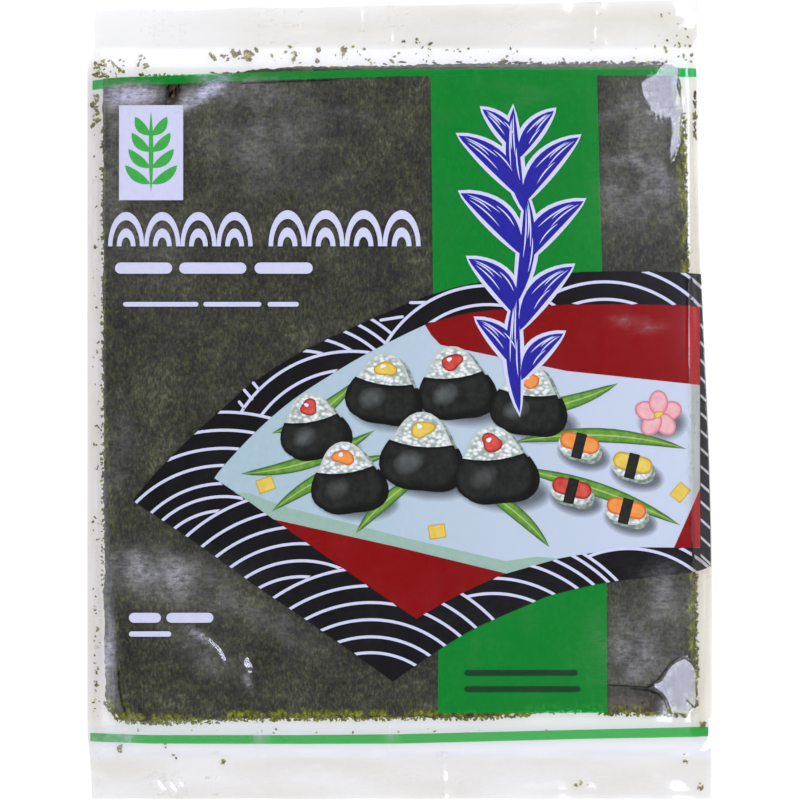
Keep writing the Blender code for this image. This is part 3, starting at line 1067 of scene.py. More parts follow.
def cut_round_facet(body, corners):
    """Cuts the film's grid along a facet's sides and along the feet of its flanks."""
    left, right = min(x for x, _ in corners) - 2, max(x for x, _ in corners) + 2
    low, high = min(y for _, y in corners) - 2, max(y for _, y in corners) + 2
    around = []
    for face in body.faces:
        middle = face.calc_center_median() / MM
        if left < middle.x < right and low < middle.y < high:
            around.append(face)
    for start, end in sides_of(corners):
        length, first, ahead, aside = along_and_aside(start, end)
        near, rest = [], []
        for face in around:
            middle = (face.calc_center_median() - first) / MM
            close = abs(middle.dot(aside)) < CUT_REACH
            close = close and -CUT_PAST_ENDS < middle.dot(ahead) < length + CUT_PAST_ENDS
            (near if close else rest).append(face)
        for offset in (0.0, FLANK_WIDTH, -FLANK_WIDTH):
            near = cut_faces(body, near, first + aside * offset * MM, aside, offset == 0.0)
        around = near + rest


# The sheets

TOP_SHEET = [(-94.9, 103.2), (-82.0, 103.6), (-62.0, 103.6), (-47.0, 105.6), (-28.0, 106.8), (-3.0, 107.0),
             (12.0, 107.8), (40.0, 107.6), (75.8, 107.6), (87.4, 107.2), (89.6, 103.0), (90.0, 80.0),
             (91.3, 60.0), (92.3, 30.0), (93.2, 0.0), (94.0, -50.0), (94.4, -85.0), (94.6, -97.5),
             (92.0, -100.8), (80.0, -100.2), (50.0, -99.3), (36.0, -100.1), (28.0, -101.4), (0.0, -101.4),
             (-50.0, -101.6), (-60.0, -102.4), (-85.0, -103.0), (-87.5, -103.2), (-89.6, -97.0),
             (-90.7, -88.0), (-91.3, -75.0), (-92.6, -50.0), (-94.0, -20.0), (-94.7, 6.0), (-95.1, 60.0)]
SECOND_SHEET = [(-95.1, 102.8), (-20.0, 104.8), (60.0, 106.5), (88.8, 106.9), (90.4, 100.0), (92.5, 40.0),
                (94.6, -40.0), (95.1, -98.8), (90.0, -101.4), (50.0, -99.7), (36.0, -100.4), (28.0, -101.9),
                (0.0, -101.9), (-52.0, -102.1), (-60.0, -103.0), (-86.0, -103.6), (-89.2, -103.6),
                (-94.2, -96.6), (-94.8, -80.0), (-95.2, 20.0)]
LOWER_SHEETS = [(-94.7, 102.9), (0.0, 104.0), (88.6, 106.0), (90.4, 95.0), (92.6, 30.0), (94.4, -50.0),
                (94.7, -98.6), (50.0, -99.4), (36.0, -100.1), (28.0, -101.5), (0.0, -101.6),
                (-55.0, -102.0), (-88.0, -102.9), (-91.6, -99.5), (-93.8, -95.0), (-94.4, 0.0)]
RAGGED_STEP = 0.9
LOWER_EDGE_RAGGEDNESS = 1.7
# Cells of the sheets that hardly show, of the second one, and of the one on top
LOWER_SHEET_CELL = 6.0
SECOND_SHEET_CELL = 4.0
TOP_SHEET_CELL = 1.8
SHEET_EDGE_CELL = 2.0
SHEET_SHIFT_X = (-0.7, 0.6)
SHEET_SHIFT_Y = (-0.8, 0.4)


def ragged(corners, seed):
    """The torn edge of a sheet through its corners: fine teeth on slower wander."""
    loop = []
    for start, end in sides_of(corners):
        length, ahead = heading(start, end)
        for distance in spaced(0.0, length, RAGGED_STEP):
            x, y = off_run(start, ahead, distance, 0.0)
            out = 0.55 * uneven(x, y, 1.3, 1.3, seed * 9.1) + 0.5 * uneven(x, y, 7.0, 7.0, seed * 5.3)
            out *= LOWER_EDGE_RAGGEDNESS if y < STACK_BOTTOM + 3 else 1.0
            loop.append(off_run((x, y), ahead, 0.0, out))
    return loop


RIM_WIDTH = 3.4
RIM_REACH = 8.0                 # further in from the stack's edges no rim colour shows at all
RIM_STRENGTH_BELOW = 1.0
RIM_STRENGTH_RIGHT = 0.9
RIM_STRENGTH = 0.45
SCORCHED_MIDDLE = (73.0, -97.0)
SCORCHED_REACH = (11.0, 4.0)


def rim_glow(corners, x, y, number):
    """How yellow-green a sheet's thin rim is, its own colour with painted light shining through: thin and
    patchy along its lower and right edges, less so elsewhere.
    """
    from_edge = min(abs(x - STACK_LEFT), abs(x - STACK_RIGHT), abs(y - STACK_TOP), abs(y - STACK_BOTTOM))
    if from_edge > RIM_REACH:
        return 0.0
    strength = RIM_STRENGTH
    if y < STACK_BOTTOM + 6:
        strength = RIM_STRENGTH_BELOW
    elif x > STACK_RIGHT - 9:
        strength = RIM_STRENGTH_RIGHT
    patches = uneven(x, y, 4.0, 6.0, number * 3.3) * 1.8 + 0.95
    near = 1.0 - smooth_step(from_line(corners + corners[:1], x, y), 0.0, RIM_WIDTH)
    return min(max(patches, 0.0), 1.0) * near * strength


def shiny_strip(x, y):
    """How much painted sheen the sheets show past the top one's left edge: most towards the lower corner."""
    return smooth_step(x, -84.0, -87.0) * (0.45 + 0.5 * smooth_step(y, -45.0, -80.0))


def scorch(x, y):
    """How brown the roasting has left a sheet: a strip in the lower right, a little along the top edge."""
    off_x = (x - SCORCHED_MIDDLE[0]) / SCORCHED_REACH[0]
    off_y = (y - SCORCHED_MIDDLE[1]) / SCORCHED_REACH[1]
    on_top_edge = 0.6 * smooth_step(y, 105.0, 107.5)
    return min(math.exp(-off_x ** 2 - off_y ** 2) + on_top_edge, 1.2)


def nori_sheet(number, corners, cell, material):
    """One sheet of the stack; number 0 lies at the bottom."""
    body = bmesh.new()
    fill(body, [ragged(corners, number)])
    cut_into_cells(body, cell, min(cell, SHEET_EDGE_CELL))
    new_layer = body.verts.layers.float.new
    thin_rim_and_glow, painted_sheen, browned = [new_layer(name) for name in ("thin_rim_and_glow", "painted_sheen", "browned")]
    for vertex in body.verts:
        # The rim's yellow-green is partly painted light shining through the thin laver
        vertex[thin_rim_and_glow] = rim_glow(corners, vertex.co.x / MM, vertex.co.y / MM, number)
    thicken(body, SHEET_THICKNESS)
    for vertex in body.verts:
        x, y = vertex.co.x / MM, vertex.co.y / MM
        # Painted sheen on the lower sheets past the top one's left edge
        vertex[painted_sheen] = 0.0 if number == SHEET_COUNT - 1 else shiny_strip(x, y)
        vertex[browned] = scorch(x, y)
        share = (number + 1) / SHEET_COUNT
        top = SHEETS_START + (stack_top(x, y) - SHEETS_START) * share
        relief = SHEET_RELIEF * uneven(x, y, 6.0, 8.0, 1.0 + number)
        vertex.co.z += (top + relief) * MM
    return finish_piece(f"nori_sheet_{number + 1}", body, material)


def nori_stack(material):
    """The stack, from the bottom up; the sheets that hardly show lie a little off its middle."""
    drawn = random.Random(11)
    for number in range(SHEET_COUNT - 2):
        shift_x, shift_y = drawn.uniform(*SHEET_SHIFT_X), drawn.uniform(*SHEET_SHIFT_Y)
        corners = [(x + shift_x, y + shift_y) for x, y in LOWER_SHEETS]
        nori_sheet(number, corners, LOWER_SHEET_CELL, material)
    nori_sheet(SHEET_COUNT - 2, SECOND_SHEET, SECOND_SHEET_CELL, material)
    nori_sheet(SHEET_COUNT - 1, TOP_SHEET, TOP_SHEET_CELL, material)


# Loose scraps: left, top, right, bottom of where they lie, how many, and their size
CRUMB_PLACES = (
    (-98.2, 109.2, -88.5, 103.4, 40, 0.95), (-84.9, 111.7, -80.4, 106.6, 11, 1.1),
    (-64.3, 112.4, -45.0, 108.8, 14, 1.2), (-55.0, 111.6, -47.5, 108.6, 8, 1.7),
    (-41.8, 113.4, 77.4, 108.0, 60, 0.7), (-35.3, 113.0, -25.7, 108.0, 10, 1.1),
    (-19.0, 114.5, -17.0, 109.0, 5, 1.2), (0.0, 116.2, 13.0, 113.7, 7, 0.7),
    (83.8, 116.0, 94.5, 108.5, 16, 0.8),
    (94.3, 98.9, 95.5, 83.7, 16, 0.7), (-98.8, 102.0, -96.8, -102.0, 50, 0.6),
    (-98.8, 98.0, -96.8, 88.0, 20, 1.1), (-90.7, -111.9, -89.0, -113.9, 4, 1.3),
    (-75.8, -109.8, -74.4, -113.2, 6, 1.2), (-73.0, -114.6, -71.6, -116.6, 2, 0.9),
    (-57.8, -116.4, -56.6, -117.4, 2, 1.2), (54.8, -123.0, 61.3, -124.6, 7, 0.6),
    (91.3, -114.0, 93.0, -117.5, 5, 0.9), (96.4, -104.0, 98.2, -106.6, 6, 0.9),
    (95.6, -123.6, 97.6, -125.4, 5, 0.7), (-98.2, -60.0, -96.4, -98.0, 16, 0.7),
    (80.0, 124.5, 94.0, 112.0, 12, 0.6), (-95.0, -106.0, 90.0, -107.5, 18, 0.6),
)

SHRED_LIFT = 0.1                # shreds on the top sheet lie this far over it
BESIDE_STACK_X = 92.0           # past this they lie between the films
ON_SHEET_X = 90.0               # they lie on the top sheet up to here, and past it against the film
ON_SHEET_Y = 106.0
# Dark brown shreds: left, top, right, bottom of where they lie, how many, their size, how far they lean
SHRED_PLACES = (
    (94.6, 98.6, 95.2, 84.2, 26, 0.55, 90), (-74.8, 101.0, -70.4, 95.6, 22, 1.3, 70),
    (-6.0, 108.4, 86.0, 107.2, 46, 0.8, 0), (-62.0, 104.9, -30.0, 104.4, 14, 0.7, 0),
    (88.2, 106.0, 89.4, 98.0, 8, 0.7, 90), (71.0, -96.4, 84.0, -99.6, 14, 0.6, 80),
)
SCRAP_THICKNESS = 0.1
# Least and most size of a scrap, as a share of the size at its place, and how much longer than wide it is
CRUMB_SIZES = (0.35, 1.3)
CRUMB_STRETCH = (1.0, 2.2)
SHRED_SIZES = (0.35, 1.1)
SHRED_STRETCH = (2.4, 4.2)
FRAYED_SIZES = (0.25, 0.85)     # these in millimetres
FRAYED_STRETCH = 1.6
FRAYED_HEIGHTS = (0.55, 0.95)   # as shares of the stack's height


def scrap(body, drawn, x, y, height, size, stretch=1.0, lean=None):
    """One torn scrap: a small uneven flake."""
    one = bmesh.new()
    count = drawn.randint(5, 7)
    turn = math.degrees(drawn.uniform(0, math.pi)) if lean is None else lean + drawn.uniform(-24, 24)
    corners = []
    for step in range(count):
        angle = 2 * math.pi * step / count + drawn.uniform(-0.3, 0.3)
        reach = size * drawn.uniform(0.3, 0.75)
        corners.append((reach * stretch * math.cos(angle), reach * math.sin(angle)))
    fill(one, [placed(corners, (x, y), turn)])
    thicken(one, SCRAP_THICKNESS)
    bmesh.ops.translate(one, verts=one.verts[:], vec=(0, 0, (height + SCRAP_THICKNESS / 2) * MM))
    join(body, one)


def between_films(x, y):
    """Halfway from the back film to the front one."""
    return (front_film(x, y) + back_film(x, y)) / 2


def crumbs(material):
    """Crumbs that have worked out between the two films, round the stack."""
    body = bmesh.new()
    drawn = random.Random(5)
    for left, top, right, bottom, count, size in CRUMB_PLACES:
        for _ in range(count):
            x, y = drawn.uniform(left, right), drawn.uniform(bottom, top)
            across, stretch = size * drawn.uniform(*CRUMB_SIZES), drawn.uniform(*CRUMB_STRETCH)
            scrap(body, drawn, x, y, between_films(x, y), across, stretch)
    return finish_piece("nori_crumbs", body, material)


def shreds(material):
    """Dark slivers that lie in the fold of the film and along the edges of the stack."""
    body = bmesh.new()
    drawn = random.Random(31)
    for left, top, right, bottom, count, size, lean in SHRED_PLACES:
        for _ in range(count):
            x, y = drawn.uniform(left, right), drawn.uniform(bottom, top)
            if x > BESIDE_STACK_X:
                height = between_films(x, y)
            elif STACK_LEFT < x < ON_SHEET_X and y < ON_SHEET_Y:
                height = stack_top(x, y) + SHRED_LIFT
            else:
                height = front_film(x, y) - NORI_UNDER_FILM
            across, stretch = size * drawn.uniform(*SHRED_SIZES), drawn.uniform(*SHRED_STRETCH)
            scrap(body, drawn, x, y, height, across, stretch, lean)
    return finish_piece("nori_shreds", body, material)


# Where the sheets fray to thin ends, yellow-green with painted light shining through: run of the edge, how
# thickly, and how far out
FRAYED_EDGES = (
    ((-88.0, -103.2), (-58.0, -102.8), 5.5, 1.5), ((-58.0, -102.3), (30.0, -101.9), 3.6, 1.2),
    ((30.0, -101.7), (42.0, -100.6), 4.0, 1.2), ((42.0, -100.2), (64.0, -99.6), 2.6, 0.8),
    ((64.0, -100.1), (93.0, -100.8), 5.0, 1.4), ((90.4, 92.0), (91.6, 40.0), 5.0, 1.4),
    ((94.4, -60.0), (95.0, -92.0), 4.6, 1.1), ((94.2, -56.0), (94.6, -64.0), 5.0, 1.3),
    ((94.6, -93.0), (94.6, -98.6), 4.0, 1.2), ((-40.0, 105.4), (86.0, 107.6), 2.6, 0.9),
    ((-84.0, 103.6), (-55.0, 103.0), 1.6, 0.8), ((-95.3, 90.0), (-95.3, -60.0), 0.9, 0.6),
    ((-94.6, -97.0), (-89.6, -103.6), 4.0, 0.9),
)
SCRAPS_PER_MM = 1.7             # of an edge that frays once as thickly


def frayed_edges(material):
    """Thin torn ends of laver that stand out from the edges of the stack."""
    body = bmesh.new()
    drawn = random.Random(23)
    for start, end, thickly, reach in FRAYED_EDGES:
        length, ahead = heading(start, end)
        outward = 1 if start[0] * ahead[1] - start[1] * ahead[0] < 0 else -1
        for _ in range(round(length * thickly * SCRAPS_PER_MM)):
            along, out = drawn.uniform(0, length), drawn.uniform(-0.5, 1.0) * reach * outward
            x, y = off_run(start, ahead, along, out)
            height = max(stack_top(x, y) * drawn.uniform(*FRAYED_HEIGHTS), back_film(x, y) + 0.3)
            height = min(height, front_film(x, y) - 0.2)
            scrap(body, drawn, x, y, height, drawn.uniform(*FRAYED_SIZES), FRAYED_STRETCH)
    return finish_piece("nori_frayed_ends", body, material)


# The print

# Inks by what they print: the material's name, its colour, its mottle, how uneven it is, what else it has
INKS = {
    "green": ("green_gravure_ink", "#12BE43", "#2ABA50", 0.15, {"cover": 0.3, "tint": "#CBFDE8"}),
    "deep_green": ("deep_green_gravure_ink", "#08C62A", "#14BE38", 0.2, {"cover": 0.8, "tint": "#70F5A8"}),
    "pale": ("white_gravure_ink", "#D2D4EC", "#DFE1F4", 0.5, {}),
    "black": ("black_gravure_ink", "#0D0C0E", "#1C1B20", 0.3, {}),
    "red_field": ("red_gravure_ink", "#BE1B1D", "#C42226", 0.3, {"cover": 0.35, "tint": "#FF3C3C"}),
    "plate": ("plate_gravure_ink", "#A9C4CA", "#C2D4DE", 0.4, {"fade": "#CCD5E4"}),
    "plate_shade": ("plate_shade_ink", "#99B8A7", "#A8C6B6", 0.6, {}),
    "leaf": ("leaf_green_ink", "#4F8C34", "#8FB548", 0.8, {"border": "#2C5A2A"}),
    "rib": ("leaf_rib_ink", "#9CC060", "#B8D080", 0.8, {}),
    "shadow": ("soft_shadow_ink", "#22302E", "#FFFFFF", 0.12, {"cover": 0.34, "soft": True}),
    "sheen": ("soft_sheen_ink", "#8F9A94", "#C8D2CC", 0.9, {"cover": 0.12, "soft": True}),
    "wrap": ("dark_wrap_ink", "#171916", "#31362E", 0.7, {"border": "#0B0C0A"}),
    "wrap_side": ("wrap_side_ink", "#0A0B09", "#15170F", 0.6, {}),
    "rice": ("rice_white_ink", "#F2F6F2", "#93A397", 0.9, {"border": "#C4CFC6", "grains": 1.5}),
    "glint": ("glint_ink", "#F4F6F6", "#FFFFFF", 0.12, {}),
    "rice_shade": ("rice_shade_ink", "#A8B6AA", "#6E7E72", 0.9, {"grains": 1.5}),
    "orange": ("orange_ink", "#EE8A3A", "#F2B060", 0.8, {"border": "#C84E20"}),
    "red": ("topping_red_ink", "#C83428", "#E07060", 0.8, {"border": "#841414"}),
    "yellow": ("yellow_ink", "#E2BE3A", "#EEDC7A", 0.8, {"border": "#B98A1C"}),
    "pink": ("blossom_pink_ink", "#E8A6AC", "#F4CCCA", 0.8, {"border": "#D0707E"}),
    "blue": ("blue_gravure_ink", "#221E94", "#2E2CAA", 0.6, {}),
    "sprig": ("sprig_green_ink", "#34AA44", "#58BC56", 0.6, {}),
    "grey": ("dark_grey_ink", "#123A1E", "#20402A", 0.5, {}),
}

# Layers of print: how far each lies behind the front film, its ink, its slot, and what else it has
LAYERS = {
    "green_band": (0.28, "green", "print_green", {}),
    "fan_frame": (0.24, "black", "print_black", {}),
    "wave_lines": (0.2, "pale", "print_pale", {}),
    "red_fields": (0.24, "red_field", "print_red", {}),
    "side_dashes": (0.2, "pale", "print_pale", {}),
    "plate": (0.26, "plate", "print_pale", {}),
    "plate_shade": (0.235, "plate_shade", "print_pale", {}),
    "shadows": (0.215, "shadow", "print_black", {"step": 0.001, "border": 3.4}),
    "small_shadows": (0.225, "shadow", "print_black", {"border": 2.4}),
    "leaves": (0.19, "leaf", "print_green", {"step": 0.002, "border": 0.9}),
    "leaf_ribs": (0.175, "rib", "print_green", {"step": 0.002}),
    "wrap_sheens": (0.073, "sheen", "print_pale", {"calm_cell": 1.2, "border": 2.6}),
    "red_toppings": (0.068, "red", "print_red", {"calm_cell": 1.2, "border": 0.8}),
    "yellow_toppings": (0.068, "yellow", "print_red", {"calm_cell": 1.2, "border": 0.8}),
    "orange_toppings": (0.068, "orange", "print_red", {"calm_cell": 1.2, "border": 0.8}),
    "glints": (0.064, "glint", "print_pale", {}),
    "bite_sides": (0.15, "rice_shade", "print_pale", {"border": 0.8}),
    "bites": (0.13, "rice", "print_pale", {"border": 0.9}),
    "bite_belts": (0.09, "wrap", "print_black", {"border": 0.8}),
    "blossom": (0.12, "pink", "print_red", {"step": 0.003, "border": 1.0}),
    "blossom_heart": (0.09, "yellow", "print_pale", {"border": 0.5}),
    "yellow_tiles": (0.14, "yellow", "print_pale", {"border": 0.5}),
    "frond_border": (0.046, "pale", "print_pale", {"calm_cell": 1.6, "step": 0.0012}),
    "frond": (0.026, "blue", "print_blue", {"calm_cell": 1.6, "step": 0.0012}),
    "frond_streaks": (0.012, "pale", "print_pale", {"calm_cell": 1.6}),
    "title_waves": (0.14, "pale", "print_pale", {}),
    "pale_bars": (0.14, "pale", "print_pale", {}),
    "dark_bars": (0.14, "grey", "print_black", {}),
    "panel": (0.16, "pale", "print_pale", {}),
    "sprig": (0.12, "sprig", "print_green", {"step": 0.002}),
}
BITE_SLICES = ("orange", "yellow", "red", "orange")
BITE_SLICE_DEPTH = 0.11
BITE_SLICE_BORDER = 0.9
BALL_DEPTH = 0.16               # of the first ball's side; each next ball and layer lies further forward
BALL_STEP = 0.012
BALL_LAYER_STEP = 0.003
FRONT_STRIPE_DEPTH = 0.2
BACK_STRIPE_DEPTH = -0.1
STRIPE_CELLS = (2.5, 0.8)


@functools.cache
def ink(what):
    """The ink of this row of the table, made when it is first asked for."""
    name, colour, mottle, unevenness, more = INKS[what]
    return printing_ink(name, colour, mottle, unevenness, **more)


def print_layer(layer, shapes):
    """Prints shapes as the table of layers says."""
    depth, what, slot, more = LAYERS[layer]
    return printed("print_" + layer, shapes, depth, ink(what), slot, **more)


def stripe(name, top_edge, bottom_edge, depth, surface, material):
    """A stripe right across one face, from fold to fold."""
    body = bmesh.new()
    fill(body, [top_edge + bottom_edge[::-1]])
    cut_into_cells(body, *STRIPE_CELLS)
    thicken(body, INK_THICKNESS)
    lay_under_film(body, depth, surface)
    return finish_piece(name, body, material)


TOP_STRIPE = (
    [(-98.8, 102.4), (-88.5, 103.4), (-77.2, 103.7), (-65.9, 104.3), (-51.4, 104.8), (0.1, 105.9),
     (64.5, 106.4), (95.3, 106.3)],
    [(-98.8, 99.4), (-88.5, 100.9), (-77.2, 100.9), (-65.9, 101.4), (-51.4, 102.1), (0.1, 103.6),
     (64.5, 103.8), (95.5, 103.6)])
BOTTOM_STRIPE = (
    [(-99.6, -107.5), (-80.4, -108.2), (-32.1, -108.2), (0.1, -107.9), (61.3, -106.4), (99.3, -105.5)],
    [(-99.6, -110.1), (-80.4, -110.8), (-32.1, -110.9), (0.1, -110.8), (61.3, -109.2), (99.3, -108.5)])

BAND = [(9.9, 103.9), (63.3, 103.9), (65.0, 39.0), (66.4, -60.5), (66.6, -100.8), (12.3, -100.8),
        (12.3, -79.0), (10.7, 32.0)]

PLATE_RIGHT = [(8.1, 23.8), (10.2, 20.4), (13.0, 17.4), (53.5, 9.0), (INSIDE_RIGHT, 4.5),
               (INSIDE_RIGHT, -28.7), (88.0, -47.7)]
PLATE = INSIDE_TOP[:-1] + PLATE_RIGHT + INSIDE_LOW[2:] + [(0.1, -47.7)] + INSIDE_LEFT[:-1]
RED_FIELDS = [
    [INSIDE_TOP_RIGHT + [(INSIDE_RIGHT, 4.5), (53.5, 9.0), (13.0, 17.4), (10.2, 20.4)]],
    [INSIDE_TIP[:-1] + INSIDE_TIP_LEFT + [(0.1, -47.7)]],
    [[(INSIDE_RIGHT, -28.7), (INSIDE_RIGHT, -47.75), (88.0, -47.7)]],
]
PLATE_SHADE = [[(-53.0, -30.0), (-50.8, -31.2), (-40.5, -38.6), (0.1, -47.7), (34.2, -56.0), (51.0, -51.2),
                (44.0, -50.6), (34.0, -52.0), (2.0, -44.6), (-36.0, -34.8), (-48.0, -30.4)]]

FROND_BLADES = (
    ((38.5, -4.5), (37.5, 34.0), 4.6, 1.6), ((37.0, 30.0), (40.5, 66.0), 4.8, -2.2),
    ((40.0, 60.0), (36.5, 93.5), 4.6, 1.8), ((38.5, 8.0), (24.5, 25.5), 6.4, -2.6),
    ((39.0, 6.0), (52.5, 21.0), 5.8, 2.4), ((38.0, 26.0), (22.0, 45.0), 7.2, -3.0),
    ((38.5, 22.0), (55.5, 42.5), 7.0, 3.0), ((39.5, 46.0), (19.5, 66.0), 7.8, -3.2),
    ((39.5, 43.0), (59.0, 63.5), 7.4, 3.2), ((39.5, 64.0), (18.8, 84.5), 6.8, -2.8),
    ((39.0, 62.0), (57.5, 84.0), 6.8, 2.8), ((38.5, 78.0), (26.5, 93.0), 5.0, -1.6),
    ((38.0, 77.0), (49.5, 92.5), 5.0, 1.6),
)
FROND_BORDER = 1.3

LEAVES = (
    ((-8.0, -10.0), (-51.0, -24.0), 4.6, 3.0), ((-4.0, -18.0), (-41.0, -36.0), 4.8, -2.4),
    ((-14.0, 6.0), (-41.0, -11.0), 4.4, 2.4), ((8.0, -24.0), (-14.0, -43.0), 4.2, -1.5),
    ((30.0, -4.0), (70.0, 5.0), 4.8, -2.6), ((36.0, -22.0), (90.0, -40.5), 4.6, 2.2),
    ((36.0, -14.0), (92.0, -16.0), 4.6, 3.4), ((24.0, -28.0), (48.0, -47.5), 4.2, 1.8),
)
# Rice balls in dark wraps: middle, size and turn in degrees, those at the back first
RICE_BALLS = (
    ((17.5, 4.6), 11.0, 6.0), ((-5.5, 2.6), 10.8, -8.0), ((40.8, -1.0), 10.8, -6.0),
    ((-28.0, -9.2), 10.0, 10.0), ((6.6, -17.6), 12.0, -5.0), ((-17.2, -25.8), 10.8, 7.0),
    ((30.2, -21.8), 11.8, 5.0),
)
BALL_SIDE = (1.7, -1.1)         # how far the side of a ball shows past its front
BALL_CORNERS = 0.13             # how far its corners stand out from a round
WRAP_OVER = 1.03                # how much larger than its ball a wrap is
WRAP_SPAN = slice(7, 30)        # the points of the ball's outline that it goes round
WRAP_SAG = 0.5
# Sizes on a ball, as shares of the ball's own: its shadow, the sheen on its wrap, its topping and the glint
SHADOW_ASIDE = 3.0              # this one in millimetres
SHADOW_DOWN = 0.62
SHADOW_HALVES = (1.35, 0.66)
SHADOW_TURN = -6
SHEEN_PLACE = (-0.3, -0.25)
SHEEN_HALVES = (0.44, 0.34)
SHEEN_TURN = 25
TOPPING_UP = 0.66
TOPPING_SIZE = 0.3
GLINT_OFF = 0.08
GLINT_SIZE = 0.07
# Small oblong bites with a belt: middle and turn in degrees
BITES = (((57.5, -15.0), -14.0), ((74.5, -21.5), -14.0), ((55.0, -29.5), -14.0), ((72.5, -36.0), -14.0))
BITE_LENGTH = 13.5
BITE_WIDTH = 7.6
BITE_SIDE = (0.9, -1.3)         # how far its side shows past its top
BITE_SHADOW = (1.6, -3.0)       # how far off it its shadow lies
BITE_SHADOW_HALVES = (9.2, 5.4)
SLICE_SHORTER = 3.0             # at each end than the bite it lies on
SLICE_UP = 1.0
SLICE_WIDTH = 0.72              # as a share of the bite's
BELT_HALF_WIDTH = 1.7
BELT_PAST_SIDES = 0.25
BLOSSOM_MIDDLE = (83.0, -5.0)
BLOSSOM_SHADOW = (BLOSSOM_MIDDLE[0] + 1.4, BLOSSOM_MIDDLE[1] - 2.6)
BLOSSOM_SHADOW_HALVES = (8.5, 6.4)
PETAL_REACH = 3.8               # from the blossom's middle to the middle of a petal
PETAL_HALVES = (4.0, 3.1)
HEART_SIZE = 1.5
RIB_WIDTH = 0.5
TILE_HALVES = (2.7, 2.2)
YELLOW_TILES = ((12.0, -42.5, 8.0), (90.0, -30.0, 50.0), (-43.0, -27.5, 20.0))


def rice_ball(size):
    """A rounded triangle that stands on one side, from its top corner round to the left."""
    loop = []
    for degree in range(0, 360, 10):
        angle = math.radians(degree)
        reach = size * (1 + BALL_CORNERS * math.cos(3 * angle))
        loop.append((-reach * math.sin(angle), reach * math.cos(angle)))
    return loop


def dark_wrap(size):
    """The sheet wrapped round the lower part of a rice ball, with a slightly sagging upper edge."""
    lower = rice_ball(size * WRAP_OVER)[WRAP_SPAN]
    (x0, y0), (x1, y1) = lower[-1], lower[0]
    upper = []
    for t in (0.2, 0.4, 0.6, 0.8):
        upper.append((x0 + (x1 - x0) * t, y0 + (y1 - y0) * t - size * WRAP_SAG * t * (1 - t)))
    return lower + upper


BLOB_CORNERS = 20
BLOB_FLATNESS = 0.8


def blob(middle, reach, seed):
    """An uneven round spot."""
    loop = []
    for step in range(BLOB_CORNERS):
        angle = 2 * math.pi * step / BLOB_CORNERS
        here = reach * (1 + 0.16 * math.sin(2 * angle + seed) + 0.1 * math.sin(3 * angle + 2 * seed))
        loop.append((middle[0] + here * math.cos(angle), middle[1] + here * BLOB_FLATNESS * math.sin(angle)))
    return loop


# Side dashes on the fan: how many, where the first starts, how far apart, and how they fall to the right
DASH_COUNT = 14
DASH_LEFT = 96.7
DASH_TOP = 24.0
DASH_STEP = 5.7
DASH_FALL = 1.2
DASH_FALL_GROWTH = 0.14
DASH_HALF_WIDTH = 0.45
DASH_BELOW_END = 0.55           # a little wider below its lower end
DASH_OFF_EDGE = 0.1


def print_fan():
    """The fan's frame with its wave scales, the red fields in it, and the dashes down its right side."""
    print_layer("fan_frame", [[FAN_OUTSIDE, FAN_INSIDE]])
    wave_lines()
    print_layer("red_fields", RED_FIELDS)
    dashes = []
    for place in range(DASH_COUNT):
        y = DASH_TOP - DASH_STEP * place
        low = y - DASH_FALL - DASH_FALL_GROWTH * place
        right = pack_side(y) - DASH_OFF_EDGE
        dashes.append([[(DASH_LEFT, y + DASH_HALF_WIDTH), (right, low + DASH_HALF_WIDTH),
                        (right, low - DASH_BELOW_END), (DASH_LEFT, y - DASH_HALF_WIDTH)]])
    print_layer("side_dashes", dashes)


def print_meal():
    """A plain made-up dish: rice balls in dark wraps, small oblong bites, long leaves and a blossom."""
    print_layer("plate", [[PLATE]])
    print_layer("plate_shade", [PLATE_SHADE])
    shadows = []
    for (x, y), size, _ in RICE_BALLS:
        middle = (x + SHADOW_ASIDE, y - size * SHADOW_DOWN)
        shadows.append([ellipse(middle, *(size * half for half in SHADOW_HALVES), SHADOW_TURN)])
    shadows.append([ellipse(BLOSSOM_SHADOW, *BLOSSOM_SHADOW_HALVES)])
    print_layer("shadows", shadows)
    under = [((x + BITE_SHADOW[0], y + BITE_SHADOW[1]), turn) for (x, y), turn in BITES]
    print_layer("small_shadows", [[ellipse(middle, *BITE_SHADOW_HALVES, turn)] for middle, turn in under])
    print_layer("leaves", [[blade(*leaf)] for leaf in LEAVES])
    print_layer("leaf_ribs", [[blade(start, end, RIB_WIDTH, bend)] for start, end, _, bend in LEAVES])
    print_balls()
    print_toppings()
    print_bites()
    print_blossom()
    half_width, half_height = TILE_HALVES
    tile = rectangle(-half_width, half_height, half_width, -half_height)
    print_layer("yellow_tiles", [[placed(tile, (x, y), turn)] for x, y, turn in YELLOW_TILES])


def print_balls():
    """Each ball is its own four layers, and those further forward lie over those behind."""
    for place, (middle, size, turn) in enumerate(RICE_BALLS):
        behind = (middle[0] + BALL_SIDE[0], middle[1] + BALL_SIDE[1])
        layers = ((rice_ball, behind, "side", "rice_shade", "print_pale", 1.0),
                  (dark_wrap, behind, "wrap_side", "wrap_side", "print_black", 0.6),
                  (rice_ball, middle, "front", "rice", "print_pale", 1.4),
                  (dark_wrap, middle, "wrap", "wrap", "print_black", 1.8))
        for nearer, (shape, at, layer, what, slot, border) in enumerate(layers):
            depth = BALL_DEPTH - BALL_STEP * place - BALL_LAYER_STEP * nearer
            shapes = [[placed(shape(size), at, turn)]]
            printed(f"print_ball_{place + 1}_{layer}", shapes, depth, ink(what), slot, 1.2, border=border)


